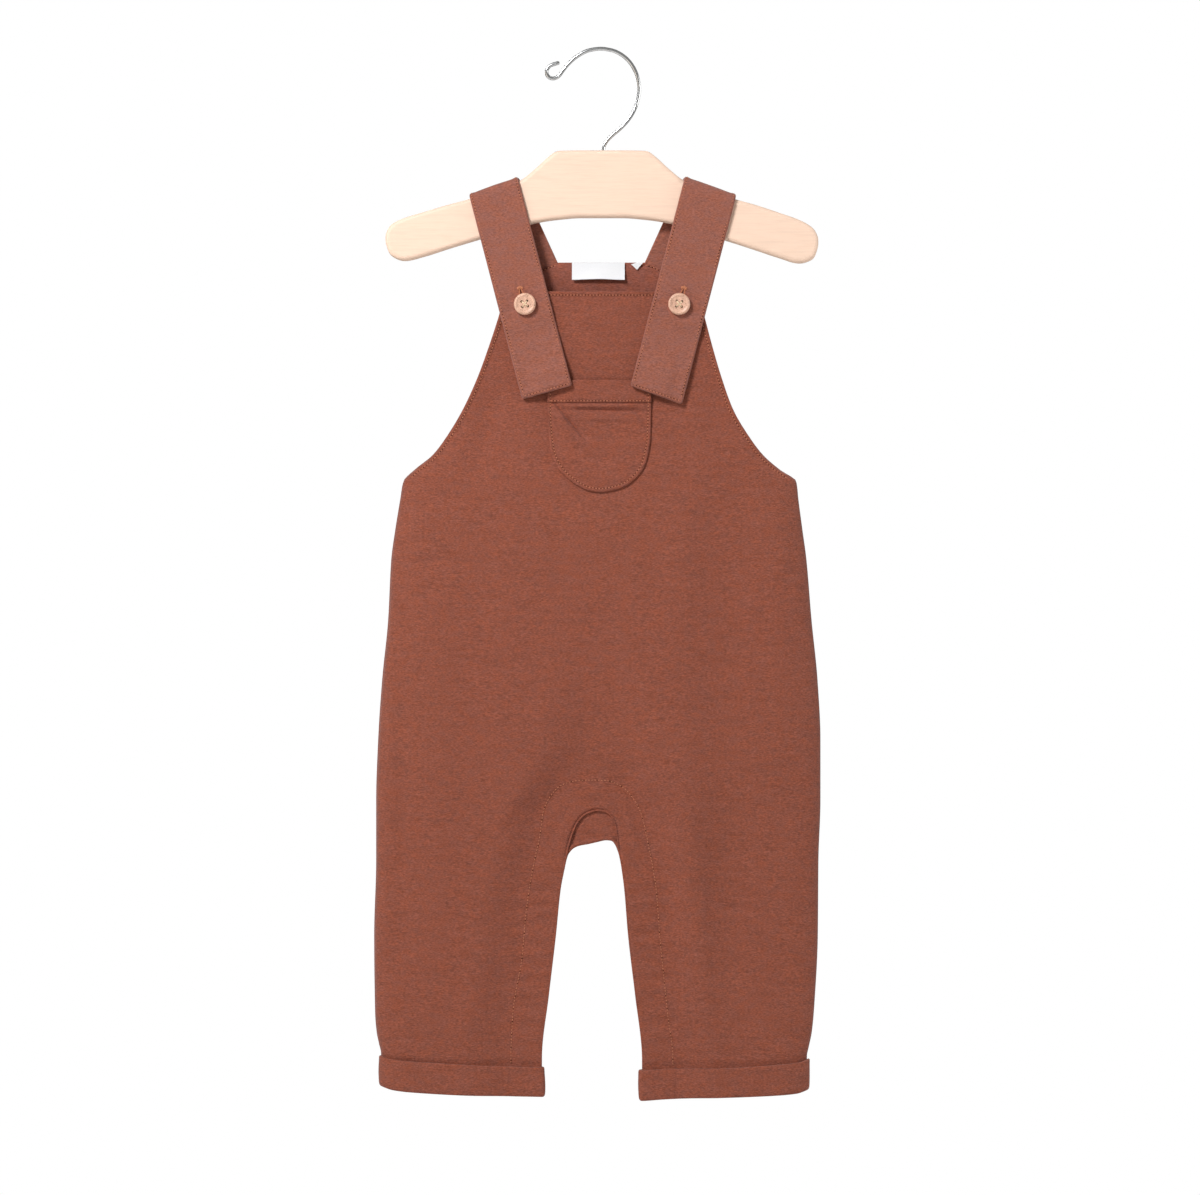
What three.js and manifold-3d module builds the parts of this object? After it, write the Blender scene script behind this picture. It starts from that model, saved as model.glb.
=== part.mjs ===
// Baby bib overalls hung flat on a small wooden hanger.
// Millimetres, +Z up, the front faces -Y. The origin is the underside of the hook's crown, where it hangs.
import * as THREE from 'three';
import { mergeVertices } from 'three/addons/utils/BufferGeometryUtils.js';
import Module from 'manifold-3d';

const wasm = await Module();
wasm.setup();

// Cloth walls and the gaps between sewn pieces
const CLOTH_WALL = 1.4;
const SEAM_GAP = 0.3;

// Columns of a panel, counted from its outer edge to the middle of the garment
const ROLL_COLUMNS = 4; // the wall rolls round to the side seam in these
const FLAT_COLUMNS = 6;
const COLUMNS = ROLL_COLUMNS + FLAT_COLUMNS;
const ROLL_RADIUS = 26;
const INNER_FALL = 32; // width over which the cloth rises from the flat strip
const FOLD_FADE = 60; // length over which a fold's end fades out

// Leg ends and their turned-up hems
const LEG_END = -678.2;
const HEM_BOTTOM = -680;
const HEM_HEIGHT = 19.5;
const HEM_WALL = 1.5;
const HEM_EASE = 60; // height over which the legs take on the slope of their hems

// Straps: doubled cloth, folded over the hanger's shoulders
const STRAP_WIDTH = 33;
const STRAP_WALL = 2.6;
const STRAP_LEAN = 14.6; // degrees from upright on the front
const SHOULDER_SLOPE = 19.6; // degrees, the line over which a strap folds
const STRAP_TOP = { x: 69.9, z: -89 }; // middle of the strap on the hanger, halfway through its wall
const STRAP_BACK_RUN = 76; // from the fold to the sewn end behind the back panel
const STRAP_STAND_OFF = 3.7; // the loose front end leans out this far
const STAND_OFF_START = 45;
const FOLD_HALF_FLAT = 2.5;
const FOLD_CORNER = 4.6;
const FOLD_SHARE = 5; // of a strap's length, what its fold takes on each side
const BUTTONHOLE = { width: 2.4, from: 62, to: 81.5 }; // from and to: along the strap, below the fold

// Rows of a strap: along it, on the front, over the fold and on the back
const STRAP_FRONT_ROWS = { to: -16, count: 8 };
const STRAP_FOLD_ROWS = { from: -12, to: 12, count: 11 };
const STRAP_BACK_ROWS = { from: 18, count: 4 };

// Buttons
const BUTTON_RADIUS = 7.15;
const BUTTON_HEIGHT = 3.4;
const BUTTON_HOLE_RADIUS = 0.65;
const BUTTON_HOLE_SPREAD = 1.75; // from the middle to a hole's centre along each side of the square
const SHANK_RADIUS = 0.8;
const SHANK_SUNK = 0.5; // the shank's end inside the disc
const BUTTON_DROP = 79; // from the fold to the button's middle
const BUTTON_CLEAR = 0.6; // between the strap and the button's back
const BUTTON_TURN = 8; // degrees that the square of holes is turned

// Cutters reach well past what they cut
const CUT_REACH = 40;

// Hanger
const HANGER_THICKNESS = 11;
const HANGER_EDGE = 3; // edge rounding
const WIRE_RADIUS = 1.25;

// A table is a list of rows, each an object with the named columns.
function table(columns, rows) {
  const names = columns.split(' ');
  return rows.map((row) => Object.fromEntries(names.map((name, index) => [name, row[index]])));
}

// Sides of the front, from the bib's top down: height, left edge, right edge.
const FRONT_OUTLINE = table('z left right', [
  [-156.9, -63.0, 62.4],
  [-175.0, -67.6, 67.0],
  [-194.6, -74.1, 72.2],
  [-214.0, -81.3, 78.0],
  [-233.6, -90.4, 85.2],
  [-253.0, -102.1, 96.9],
  [-263.0, -109.9, 104.7],
  [-272.6, -121.6, 115.7],
  [-280.0, -128.6, 126.0],
  [-292.0, -130.7, 127.4],
  [-311.6, -133.9, 130.0],
  [-331.0, -136.5, 132.6],
  [-370.0, -138.5, 135.9],
  [-409.0, -142.4, 139.8],
  [-448.0, -145.0, 141.7],
  [-487.0, -146.3, 141.7],
  [-526.0, -146.3, 140.4],
  [-575.0, -147.6, 140.0],
  [-640.0, -146.6, 136.4],
  [-655.0, -142.8, 132.6],
  [-700.0, -142.8, 132.6],
]);

// The back is the same from the armholes down. Above, it runs up to the straps and the neckline.
const BACK_OUTLINE = [
  ...table('z left right', [
    [-137.4, -29.3, 28.0],
    [-144.4, -44.4, 43.0],
    [-151.4, -59.2, 57.9],
    [-160.0, -62.6, 61.4],
  ]),
  ...FRONT_OUTLINE.slice(1),
];

// Inner edges: the crotch arch, then the inner legs. Above the first row the two halves join.
const INNER_LEGS = table('z left right', [
  [-530.0, -23.9, 12.4],
  [-545.0, -26.8, 14.4],
  [-575.0, -29.9, 16.9],
  [-614.0, -34.5, 21.5],
  [-655.0, -39.0, 26.0],
  [-700.0, -39.0, 26.0],
]);
const FRONT_INNER = [
  ...table('z left right', [
    [-494.3, -3.0, -3.0],
    [-495.7, -9.0, 3.0],
    [-498.5, -12.9, 6.2],
    [-503.5, -16.6, 8.4],
    [-511.0, -19.6, 9.5],
    [-519.0, -21.8, 10.4],
  ]),
  ...INNER_LEGS,
];
const BACK_INNER = [
  ...table('z left right', [
    [-514.5, -3.0, -3.0],
    [-515.5, -12.0, 4.6],
    [-518.0, -17.5, 8.8],
    [-523.0, -22.0, 11.0],
  ]),
  ...INNER_LEGS,
];

// Above the crotch the columns fan out towards the arch's width, so that they meet it without a jog.
const FRONT_FAN = table('z left right', [
  [-420.0, -3.0, -3.0],
  [-494.3, -10.0, 4.0],
]);
const BACK_FAN = table('z left right', [
  [-430.0, -3.0, -3.0],
  [-514.5, -13.0, 5.5],
]);

// How far a panel's outer face stands from the middle plane: on the open part of the cloth, at its
// outer edge, and on the flat strip along the middle and the inner legs, between left and right.
const DEPTHS = table('z open edge flat left right', [
  [-137.4, 5.5, 5.5, 5.5, -3.0, -3.0],
  [-215.0, 5.5, 5.4, 5.5, -3.0, -3.0],
  [-240.0, 6.0, 4.2, 6.0, -3.0, -3.0],
  [-263.0, 7.2, 2.2, 7.2, -3.0, -3.0],
  [-280.0, 8.4, 0.15, 8.4, -3.0, -3.0],
  [-331.0, 10.5, 0.15, 10.2, -3.0, -3.0],
  [-400.0, 11.0, 0.15, 8.6, -4.0, -2.0],
  [-448.0, 11.0, 0.15, 5.2, -10.0, 4.0],
  [-480.0, 10.6, 0.15, 2.2, -24.0, 15.0],
  [-494.3, 10.2, 0.15, 1.6, -34.0, 24.0],
  [-514.0, 9.8, 0.15, 1.6, -40.0, 29.0],
  [-545.0, 9.4, 0.15, 1.6, -46.8, 34.4],
  [-575.0, 9.2, 0.15, 1.6, -50.0, 37.0],
  [-614.0, 9.0, 0.15, 1.6, -54.5, 41.5],
  [-655.0, 8.0, 0.15, 1.6, -59.0, 46.0],
  [-700.0, 8.0, 0.15, 1.6, -59.0, 46.0],
]);

// Seam line between the front and its inner-leg band, from the left hem over the crotch to the right.
const BAND_SEAM = table('x z', [
  [-59.0, -690.0],
  [-58.6, -650.0],
  [-57.2, -623.6],
  [-51.4, -589.0],
  [-48.7, -559.0],
  [-43.9, -529.0],
  [-39.6, -509.2],
  [-37.7, -494.9],
  [-33.2, -485.0],
  [-25.3, -477.4],
  [-14.3, -474.8],
  [2.0, -474.8],
  [11.5, -478.0],
  [18.6, -484.6],
  [25.0, -496.0],
  [28.8, -512.0],
  [34.6, -544.3],
  [37.0, -574.2],
  [42.2, -626.2],
  [45.5, -652.9],
  [45.8, -690.0],
]);
const BACK_BAND_DROP = 18; // the back's seam line runs this much lower
const BAND_STEPS = 34;

// Largest troughs and ridges of the cloth: from, to, height (a trough is negative) and half width.
const FOLDS = table('face x0 z0 x1 z1 height half', [
  ['front', 80, -288, 84, -600, -2.2, 24],
  ['front', -68, -225, -84, -275, -1.4, 14],
  ['front', -1, -345, -10, -470, -1.6, 22],
  ['front', -104, -400, -112, -610, 1.0, 22],
  ['back', 60, -330, 74, -600, -1.8, 26],
  ['back', -70, -320, -82, -560, -1.6, 28],
]);

// How far each hem stands above its lowest line across the leg.
const HEM_LINE = table('x rise', [
  [-145.0, 8.0],
  [-136.0, 5.0],
  [-124.0, 3.6],
  [-95.0, 1.8],
  [-60.0, 0.5],
  [-38.0, 0.0],
  [24.0, -2.6],
  [40.0, -1.6],
  [60.0, -0.6],
  [95.0, 0.6],
  [126.0, 2.6],
  [135.0, 5.4],
]);

// Bib pocket: height, left edge, right edge.
const POCKET = table('z left right', [
  [-214.4, -35.8, 32.2],
  [-228.0, -35.8, 32.2],
  [-240.0, -35.5, 32.0],
  [-253.0, -34.4, 31.4],
  [-262.0, -32.8, 29.9],
  [-270.7, -28.9, 27.3],
  [-277.8, -22.8, 22.1],
  [-283.0, -15.6, 15.6],
  [-286.2, -8.6, 6.4],
]);
const POCKET_COLUMNS = 6;

// Hanger: the wood's upper and lower edge along its length.
const HANGER = table('x top bottom', [
  [-140.7, -119.5, -125.0],
  [-137.5, -113.6, -133.0],
  [-128.4, -109.0, -136.8],
  [-115.0, -104.9, -133.8],
  [-100.0, -100.4, -129.0],
  [-86.5, -96.8, -124.9],
  [-70.0, -90.9, -120.0],
  [-53.8, -85.1, -115.2],
  [-44.0, -77.6, -112.4],
  [-34.0, -68.6, -110.6],
  [-29.0, -65.4, -110.0],
  [-14.0, -65.1, -108.8],
  [14.0, -65.1, -108.8],
  [29.0, -65.4, -110.0],
  [34.0, -68.6, -110.6],
  [44.0, -77.6, -112.4],
  [53.8, -85.1, -115.2],
  [70.0, -90.9, -120.4],
  [86.5, -96.8, -125.4],
  [100.0, -100.6, -129.8],
  [115.0, -105.6, -134.8],
  [128.4, -110.4, -138.4],
  [137.5, -116.0, -135.4],
  [140.5, -121.5, -127.5],
]);

// Hook: middle of the wire from the wood up, over the crown and down to the curled end.
const HOOK_ROUTE = table('x z', [
  [0.8, -64.6],
  [0.9, -63.2],
  [2.4, -59.6],
  [6.0, -55.6],
  [11.1, -51.3],
  [16.0, -46.3],
  [19.8, -40.8],
  [22.6, -34.0],
  [24.1, -25.2],
  [22.9, -17.0],
  [19.6, -9.6],
  [13.6, -3.3],
  [6.4, 0.2],
  [-1.0, 1.25],
  [-8.4, 0.2],
  [-15.6, -3.3],
  [-21.9, -8.6],
  [-25.8, -13.4],
  [-28.7, -17.1],
  [-32.2, -18.3],
  [-35.4, -16.6],
  [-36.3, -13.6],
  [-34.8, -10.6],
  [-31.9, -9.0],
  [-28.7, -8.1],
]);
const HOOK_STEPS = 48;
const HOOK_QUARTER_SIDES = 2; // the wire's section has four times these

const COLOURS = {
  cloth: { color: 0x8f5444, roughness: 0.95, metalness: 0 },
  strap: { color: 0x9a6a5a, roughness: 0.95, metalness: 0 },
  button: { color: 0xdeb59b, roughness: 0.55, metalness: 0 },
  label: { color: 0xf7f6f2, roughness: 0.8, metalness: 0 },
  wood: { color: 0xfbe5cf, roughness: 0.6, metalness: 0 },
  wire: { color: 0xb9b6b0, roughness: 0.3, metalness: 1 },
};

const lerp = THREE.MathUtils.lerp;
const radians = THREE.MathUtils.degToRad;

function evenly(from, to, count) {
  return Array.from({ length: count }, (_, step) => lerp(from, to, step / (count - 1)));
}

function smooth(value) {
  const share = THREE.MathUtils.clamp(value, 0, 1);
  return share * share * (3 - 2 * share);
}

// Value of a column at a place along the table, straight between rows.
function lookup(rows, key, at, column) {
  const rising = rows[0][key] < rows[rows.length - 1][key];
  const past = (row) => (rising ? row[key] >= at : row[key] <= at);
  const index = rows.findIndex(past);
  if (index === 0) return rows[0][column];
  if (index < 0) return rows[rows.length - 1][column];
  const before = rows[index - 1];
  const after = rows[index];
  return lerp(before[column], after[column], (at - before[key]) / (after[key] - before[key]));
}

// Sum of the folds of one face at a point.
function foldHeight(face, x, z) {
  let height = 0;
  for (const fold of FOLDS) {
    if (fold.face !== face) continue;
    const length = Math.hypot(fold.x1 - fold.x0, fold.z1 - fold.z0);
    const alongX = (fold.x1 - fold.x0) / length;
    const alongZ = (fold.z1 - fold.z0) / length;
    const travelled = (x - fold.x0) * alongX + (z - fold.z0) * alongZ;
    const aside = Math.abs((x - fold.x0) * alongZ - (z - fold.z0) * alongX);
    const start = smooth(travelled / FOLD_FADE + 0.5);
    const end = smooth((length - travelled) / FOLD_FADE + 0.5);
    height += fold.height * start * end * smooth(1 - aside / fold.half);
  }
  return height;
}

// Distance of a panel's outer face from the middle plane, away from its rolled edge.
function openDepth(panel, x, z) {
  const away = Math.max(lookup(DEPTHS, 'z', z, 'left') - x, x - lookup(DEPTHS, 'z', z, 'right'));
  const share = smooth(away / INNER_FALL);
  const depth = lerp(lookup(DEPTHS, 'z', z, 'flat'), lookup(DEPTHS, 'z', z, 'open'), share);
  return depth + foldHeight(panel.face, x, z) * share;
}

// One point of a panel's outer face, by half, column and height.
function panelPoint(panel, half, column, z) {
  const sign = half === 'left' ? -1 : 1;
  const outer = lookup(panel.outline, 'z', z, half);
  const fanned = column < COLUMNS && z >= panel.inner[0].z;
  const inner = lookup(fanned ? panel.fan : panel.inner, 'z', z, half);
  const rolled = outer - sign * ROLL_RADIUS;
  const turn = Math.min(column / ROLL_COLUMNS, 1) * Math.PI / 2;
  const flatShare = Math.max(column - ROLL_COLUMNS, 0) / FLAT_COLUMNS;
  const x = column < ROLL_COLUMNS
    ? outer - sign * ROLL_RADIUS * (1 - Math.cos(turn))
    : lerp(rolled, inner, flatShare);
  const edge = lookup(DEPTHS, 'z', z, 'edge');
  const depth = lerp(edge, openDepth(panel, x, z), Math.sin(turn));
  const ease = smooth((LEG_END + HEM_EASE - z) / HEM_EASE);
  return new THREE.Vector3(x, panel.sign * depth, z + lookup(HEM_LINE, 'x', x, 'rise') * ease);
}

// A solid wall from a list of triangles, each of three points, whose outer face is given.
// The inner face lies one thickness behind it, and every free edge gets a rim. On a panel of the
// front (-1) or back (1) it stays on its own side of the middle plane.
function wallFromTriangles(triangles, thickness, panelSign = 0) {
  const keys = new Map();
  const points = [];
  const faces = triangles.map((corners) => corners.map((point) => {
    const key = point.toArray().map((value) => value.toFixed(4)).join(' ');
    if (!keys.has(key)) {
      keys.set(key, points.length);
      points.push(point);
    }
    return keys.get(key);
  })).filter(([a, b, c]) => a !== b && b !== c && c !== a);
  const normals = points.map(() => new THREE.Vector3());
  for (const [a, b, c] of faces) {
    const first = points[b].clone().sub(points[a]);
    const normal = first.cross(points[c].clone().sub(points[a]));
    for (const corner of [a, b, c]) normals[corner].add(normal);
  }
  const back = points.map((point, i) => {
    const inner = point.clone().addScaledVector(normals[i].normalize(), -thickness);
    if (panelSign !== 0) inner.y = panelSign * Math.max(panelSign * inner.y, SEAM_GAP / 2);
    return inner;
  });
  const count = points.length;
  const edges = new Set(faces.flatMap(([a, b, c]) => [`${a} ${b}`, `${b} ${c}`, `${c} ${a}`]));
  const index = [];
  for (const [a, b, c] of faces) index.push(a, b, c, c + count, b + count, a + count);
  for (const edge of edges) {
    const [a, b] = edge.split(' ').map(Number);
    if (edges.has(`${b} ${a}`)) continue;
    index.push(b, a, a + count, b, a + count, b + count);
  }
  const geometry = new THREE.BufferGeometry();
  const all = [...points, ...back].flatMap((point) => point.toArray());
  geometry.setAttribute('position', new THREE.Float32BufferAttribute(all, 3));
  geometry.setIndex(index);
  return geometry;
}

// Triangles of a grid of points given row by row. Turned ones face the other way.
function gridTriangles(rows, turned) {
  const triangles = [];
  for (let r = 0; r + 1 < rows.length; r += 1) {
    for (let c = 0; c + 1 < rows[r].length; c += 1) {
      const quad = [rows[r][c], rows[r + 1][c], rows[r + 1][c + 1], rows[r][c + 1]];
      const [a, b, d, e] = turned ? [quad[0], quad[3], quad[2], quad[1]] : quad;
      triangles.push([a, b, d], [a, d, e]);
    }
  }
  return triangles;
}

// Solids for joining and cutting
function toSolid(geometry) {
  const bare = geometry.clone();
  bare.deleteAttribute('normal');
  bare.deleteAttribute('uv');
  const merged = mergeVertices(bare, 1e-4);
  const triVerts = new Uint32Array(merged.index.array);
  const vertProperties = new Float32Array(merged.attributes.position.array);
  return new wasm.Manifold(new wasm.Mesh({ numProp: 3, vertProperties, triVerts }));
}

function toGeometry(solid) {
  const mesh = solid.getMesh();
  const geometry = new THREE.BufferGeometry();
  geometry.setAttribute('position', new THREE.BufferAttribute(mesh.vertProperties, 3));
  geometry.setIndex(new THREE.BufferAttribute(mesh.triVerts, 1));
  return geometry;
}

// A flat outline in X and Z, extruded along Y between two depths.
function prism(points, fromY, toY) {
  const shape = new THREE.Shape(points.map((point) => new THREE.Vector2(point.x, point.z)));
  const geometry = new THREE.ExtrudeGeometry(shape, { depth: toY - fromY, bevelEnabled: false });
  geometry.rotateX(Math.PI / 2);
  geometry.translate(0, toY, 0);
  return geometry;
}

// Front and back panels with their inner-leg bands
const PANEL_ROWS = [-175, -194.6, -214, -233.6, -253, -263, -272.6, -280, -292, -311.6, -340, -370,
  -400, -430, -455, -475, -487];
const LEG_ROWS = [-530, -545, -562, -585, -610, -640, -655];
const FRONT = { face: 'front', sign: -1, outline: FRONT_OUTLINE, inner: FRONT_INNER, fan: FRONT_FAN };
const BACK = { face: 'back', sign: 1, outline: BACK_OUTLINE, inner: BACK_INNER, fan: BACK_FAN };
const SPLIT_ROWS = 6; // rows of the crotch arch in the inner tables
const BACK_SPLIT_ROWS = 4;
FRONT.rows = [-156.9, ...PANEL_ROWS, ...FRONT_INNER.slice(0, SPLIT_ROWS).map((row) => row.z),
  ...LEG_ROWS, LEG_END];
BACK.rows = [-137.4, -144.4, -151.4, -160, ...PANEL_ROWS, -500,
  ...BACK_INNER.slice(0, BACK_SPLIT_ROWS).map((row) => row.z), ...LEG_ROWS, LEG_END];

function panelWall(panel) {
  const triangles = ['left', 'right'].flatMap((half) => {
    const rows = panel.rows.map((z) => Array.from({ length: COLUMNS + 1 }, (_, column) =>
      panelPoint(panel, half, column, z)));
    return gridTriangles(rows, (half === 'right') !== (panel.face === 'back'));
  });
  return toSolid(wallFromTriangles(triangles, CLOTH_WALL, panel.sign));
}

// The region inside the band's seam line, grown or shrunk by part of the seam gap.
function bandRegion(grow, drop) {
  const curve = new THREE.SplineCurve(BAND_SEAM.map((row) => new THREE.Vector2(row.x, row.z - drop)));
  const points = evenly(0, 1, BAND_STEPS + 1).map((share) => {
    const point = curve.getPoint(share);
    const tangent = curve.getTangent(share);
    return { x: point.x - tangent.y * grow, z: point.y + tangent.x * grow };
  });
  return toSolid(prism(points.reverse(), -CUT_REACH, CUT_REACH));
}

function panelAndBand(panel, drop) {
  const wall = panelWall(panel);
  return {
    panel: toGeometry(wall.subtract(bandRegion(SEAM_GAP / 2, drop))),
    band: toGeometry(wall.intersect(bandRegion(-SEAM_GAP / 2, drop))),
  };
}

// Turned-up hem: an L-shaped section carried round the leg's end.
function hemRing(half) {
  const z = LEG_END;
  const columns = Array.from({ length: COLUMNS + 1 }, (_, column) => column);
  const front = columns.map((column) => panelPoint(FRONT, half, column, z));
  const back = columns.map((column) => panelPoint(BACK, half, column, z)).reverse().slice(0, -1);
  const loop = [...front, ...back].map((point) => new THREE.Vector2(point.x, point.y));
  if (half === 'right') loop.reverse();
  const outward = loop.map((point, i) => {
    const before = loop[(i + loop.length - 1) % loop.length];
    const after = loop[(i + 1) % loop.length];
    const first = point.clone().sub(before).normalize();
    const second = after.clone().sub(point).normalize();
    const sum = new THREE.Vector2(first.y + second.y, -first.x - second.x);
    return sum.multiplyScalar(1 / (1 + first.dot(second)));
  });
  const top = HEM_BOTTOM + HEM_HEIGHT;
  const outer = SEAM_GAP + HEM_WALL;
  const section = table('out z', [
    [SEAM_GAP, top],
    [outer, top],
    [outer, HEM_BOTTOM],
    [-CLOTH_WALL, HEM_BOTTOM],
    [-CLOTH_WALL, HEM_BOTTOM + HEM_WALL],
    [SEAM_GAP, HEM_BOTTOM + HEM_WALL],
  ]);
  const positions = loop.flatMap((point, i) => section.flatMap((corner) => {
    const x = point.x + outward[i].x * corner.out;
    const y = point.y + outward[i].y * corner.out;
    return [x, y, corner.z + lookup(HEM_LINE, 'x', point.x, 'rise')];
  }));
  const index = [];
  for (let i = 0; i < loop.length; i += 1) {
    for (let s = 0; s < section.length; s += 1) {
      const a = i * section.length + s;
      const b = i * section.length + ((s + 1) % section.length);
      const c = ((i + 1) % loop.length) * section.length + s;
      const d = ((i + 1) % loop.length) * section.length + ((s + 1) % section.length);
      index.push(a, b, c, b, d, c);
    }
  }
  const geometry = new THREE.BufferGeometry();
  geometry.setAttribute('position', new THREE.Float32BufferAttribute(positions, 3));
  geometry.setIndex(index);
  return geometry;
}

// Straps
// Place of a strap point on the folded path over the hanger: out is the distance from its middle.
function foldPoint(travel, out) {
  const beyond = Math.abs(travel) - FOLD_HALF_FLAT;
  const face = Math.sign(travel);
  const arc = FOLD_CORNER * Math.PI / 2;
  if (beyond <= 0) return { y: travel, up: out };
  if (beyond < arc) {
    const turn = beyond / FOLD_CORNER;
    const radius = FOLD_CORNER + out;
    const y = face * (FOLD_HALF_FLAT + radius * Math.sin(turn));
    return { y, up: radius * Math.cos(turn) - FOLD_CORNER };
  }
  return { y: face * (FOLD_HALF_FLAT + FOLD_CORNER + out), up: -FOLD_CORNER - (beyond - arc) };
}

// The loose front end leans out as it goes down.
function standOff(fallen, frontRun) {
  return STRAP_STAND_OFF * smooth((fallen - STAND_OFF_START) / (frontRun - STAND_OFF_START));
}

// Point on a strap's outer face: across and along it, along is negative on the front.
function strapPoint(side, across, along, frontRun) {
  const skew = radians(SHOULDER_SLOPE - STRAP_LEAN);
  const slope = radians(SHOULDER_SLOPE);
  const aside = along * Math.sin(skew) + across * Math.cos(skew);
  const travel = along * Math.cos(skew) - across * Math.sin(skew);
  const folded = foldPoint(travel, STRAP_WALL / 2);
  const lean = travel < 0 ? -standOff(-folded.up, frontRun) : 0;
  const x = -STRAP_TOP.x + aside * Math.cos(slope) - folded.up * Math.sin(slope);
  const z = STRAP_TOP.z + aside * Math.sin(slope) + folded.up * Math.cos(slope);
  return new THREE.Vector3(-side * x, folded.y + lean, z);
}

function strap(side, frontRun) {
  const front = evenly(-frontRun - FOLD_SHARE, STRAP_FRONT_ROWS.to, STRAP_FRONT_ROWS.count);
  const fold = evenly(STRAP_FOLD_ROWS.from, STRAP_FOLD_ROWS.to, STRAP_FOLD_ROWS.count);
  const back = evenly(STRAP_BACK_ROWS.from, STRAP_BACK_RUN, STRAP_BACK_ROWS.count);
  const rows = [...front, ...fold, ...back].map((along) => [-1, 0, 1].map((share) =>
    strapPoint(side, share * STRAP_WIDTH / 2, along, frontRun)));
  const wall = toSolid(wallFromTriangles(gridTriangles(rows, side < 0), STRAP_WALL));
  const middle = (BUTTONHOLE.from + BUTTONHOLE.to) / 2;
  const slot = new THREE.BoxGeometry(BUTTONHOLE.width, CUT_REACH, BUTTONHOLE.to - BUTTONHOLE.from);
  slot.rotateY(side * radians(STRAP_LEAN));
  const place = alongFront(side, middle);
  slot.translate(place.x, -CUT_REACH / 2, place.z);
  return toGeometry(wall.subtract(toSolid(slot)));
}

// Middle of a strap's front run, a distance below the fold.
function alongFront(side, fallen) {
  const lean = radians(STRAP_LEAN);
  return {
    x: side * (STRAP_TOP.x - fallen * Math.sin(lean)),
    z: STRAP_TOP.z - fallen * Math.cos(lean),
  };
}

// Button: dished disc with four holes and its thread shank, front towards -Y, back at the given depth.
function button(backY, seatY) {
  const profile = table('radius height', [
    [0, 0],
    [5.4, 0],
    [BUTTON_RADIUS, 1.3],
    [BUTTON_RADIUS, 2.3],
    [6.3, BUTTON_HEIGHT],
    [5.3, 3.2],
    [4.3, 2.4],
    [0, 2.2],
  ]).map((row) => new THREE.Vector2(row.radius, row.height));
  const disc = new THREE.LatheGeometry(profile, 20);
  disc.rotateX(Math.PI);
  disc.translate(0, backY, 0);
  const shankTop = backY - SHANK_SUNK;
  const shank = new THREE.CylinderGeometry(SHANK_RADIUS, SHANK_RADIUS, seatY - shankTop, 8);
  shank.translate(0, (seatY + shankTop) / 2, 0);
  let solid = toSolid(disc).add(toSolid(shank));
  const spread = BUTTON_HOLE_SPREAD;
  for (const [x, z] of [[-1, -1], [-1, 1], [1, -1], [1, 1]]) {
    const hole = new THREE.CylinderGeometry(BUTTON_HOLE_RADIUS, BUTTON_HOLE_RADIUS, CUT_REACH, 6);
    hole.translate(x * spread, backY, z * spread);
    solid = solid.subtract(toSolid(hole));
  }
  return toGeometry(solid);
}

// Pocket: made from the bib's own points, moved out.
function pocket() {
  const rows = POCKET.map((row) => Array.from({ length: POCKET_COLUMNS + 1 }, (_, column) => {
    const x = lerp(row.left, row.right, column / POCKET_COLUMNS);
    return new THREE.Vector3(x, -openDepth(FRONT, x, row.z) - SEAM_GAP - CLOTH_WALL, row.z);
  }));
  return wallFromTriangles(gridTriangles(rows, false), CLOTH_WALL);
}

// Hanger: one shaped board with rounded edges.
function hangerBody() {
  const top = HANGER.map((row) => new THREE.Vector2(row.x, row.top));
  const bottom = HANGER.map((row) => new THREE.Vector2(row.x, row.bottom)).reverse();
  const shape = new THREE.Shape([...bottom, ...top]);
  const geometry = new THREE.ExtrudeGeometry(shape, {
    depth: HANGER_THICKNESS - 2 * HANGER_EDGE,
    bevelThickness: HANGER_EDGE,
    bevelSize: HANGER_EDGE,
    bevelOffset: -HANGER_EDGE,
    bevelSegments: 2,
  });
  geometry.rotateX(Math.PI / 2);
  geometry.translate(0, HANGER_THICKNESS / 2 - HANGER_EDGE, 0);
  return geometry;
}

function hangerHook() {
  const route = new THREE.CatmullRomCurve3(HOOK_ROUTE.map((row) => new THREE.Vector3(row.x, 0, row.z)));
  const round = new THREE.Shape();
  round.absarc(0, 0, WIRE_RADIUS, 0, Math.PI * 2);
  return new THREE.ExtrudeGeometry(round, {
    extrudePath: route,
    steps: HOOK_STEPS,
    curveSegments: 2 * HOOK_QUARTER_SIDES,
    bevelEnabled: false,
  });
}

// The garment and its hanger
const group = new THREE.Group();

function add(parent, name, geometry, look) {
  const mesh = new THREE.Mesh(geometry, new THREE.MeshStandardMaterial(COLOURS[look]));
  mesh.name = name;
  parent.add(mesh);
  return mesh;
}

const garment = new THREE.Group();
const front = panelAndBand(FRONT, 0);
const back = panelAndBand(BACK, BACK_BAND_DROP);
add(garment, 'front_panel', front.panel, 'cloth');
add(garment, 'inseam_band_front', front.band, 'cloth');
add(garment, 'back_panel', back.panel, 'cloth');
add(garment, 'inseam_band_back', back.band, 'cloth');
add(garment, 'cuff_left', hemRing('left'), 'cloth');
add(garment, 'cuff_right', hemRing('right'), 'cloth');
add(garment, 'bib_pocket', pocket(), 'cloth');

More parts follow.
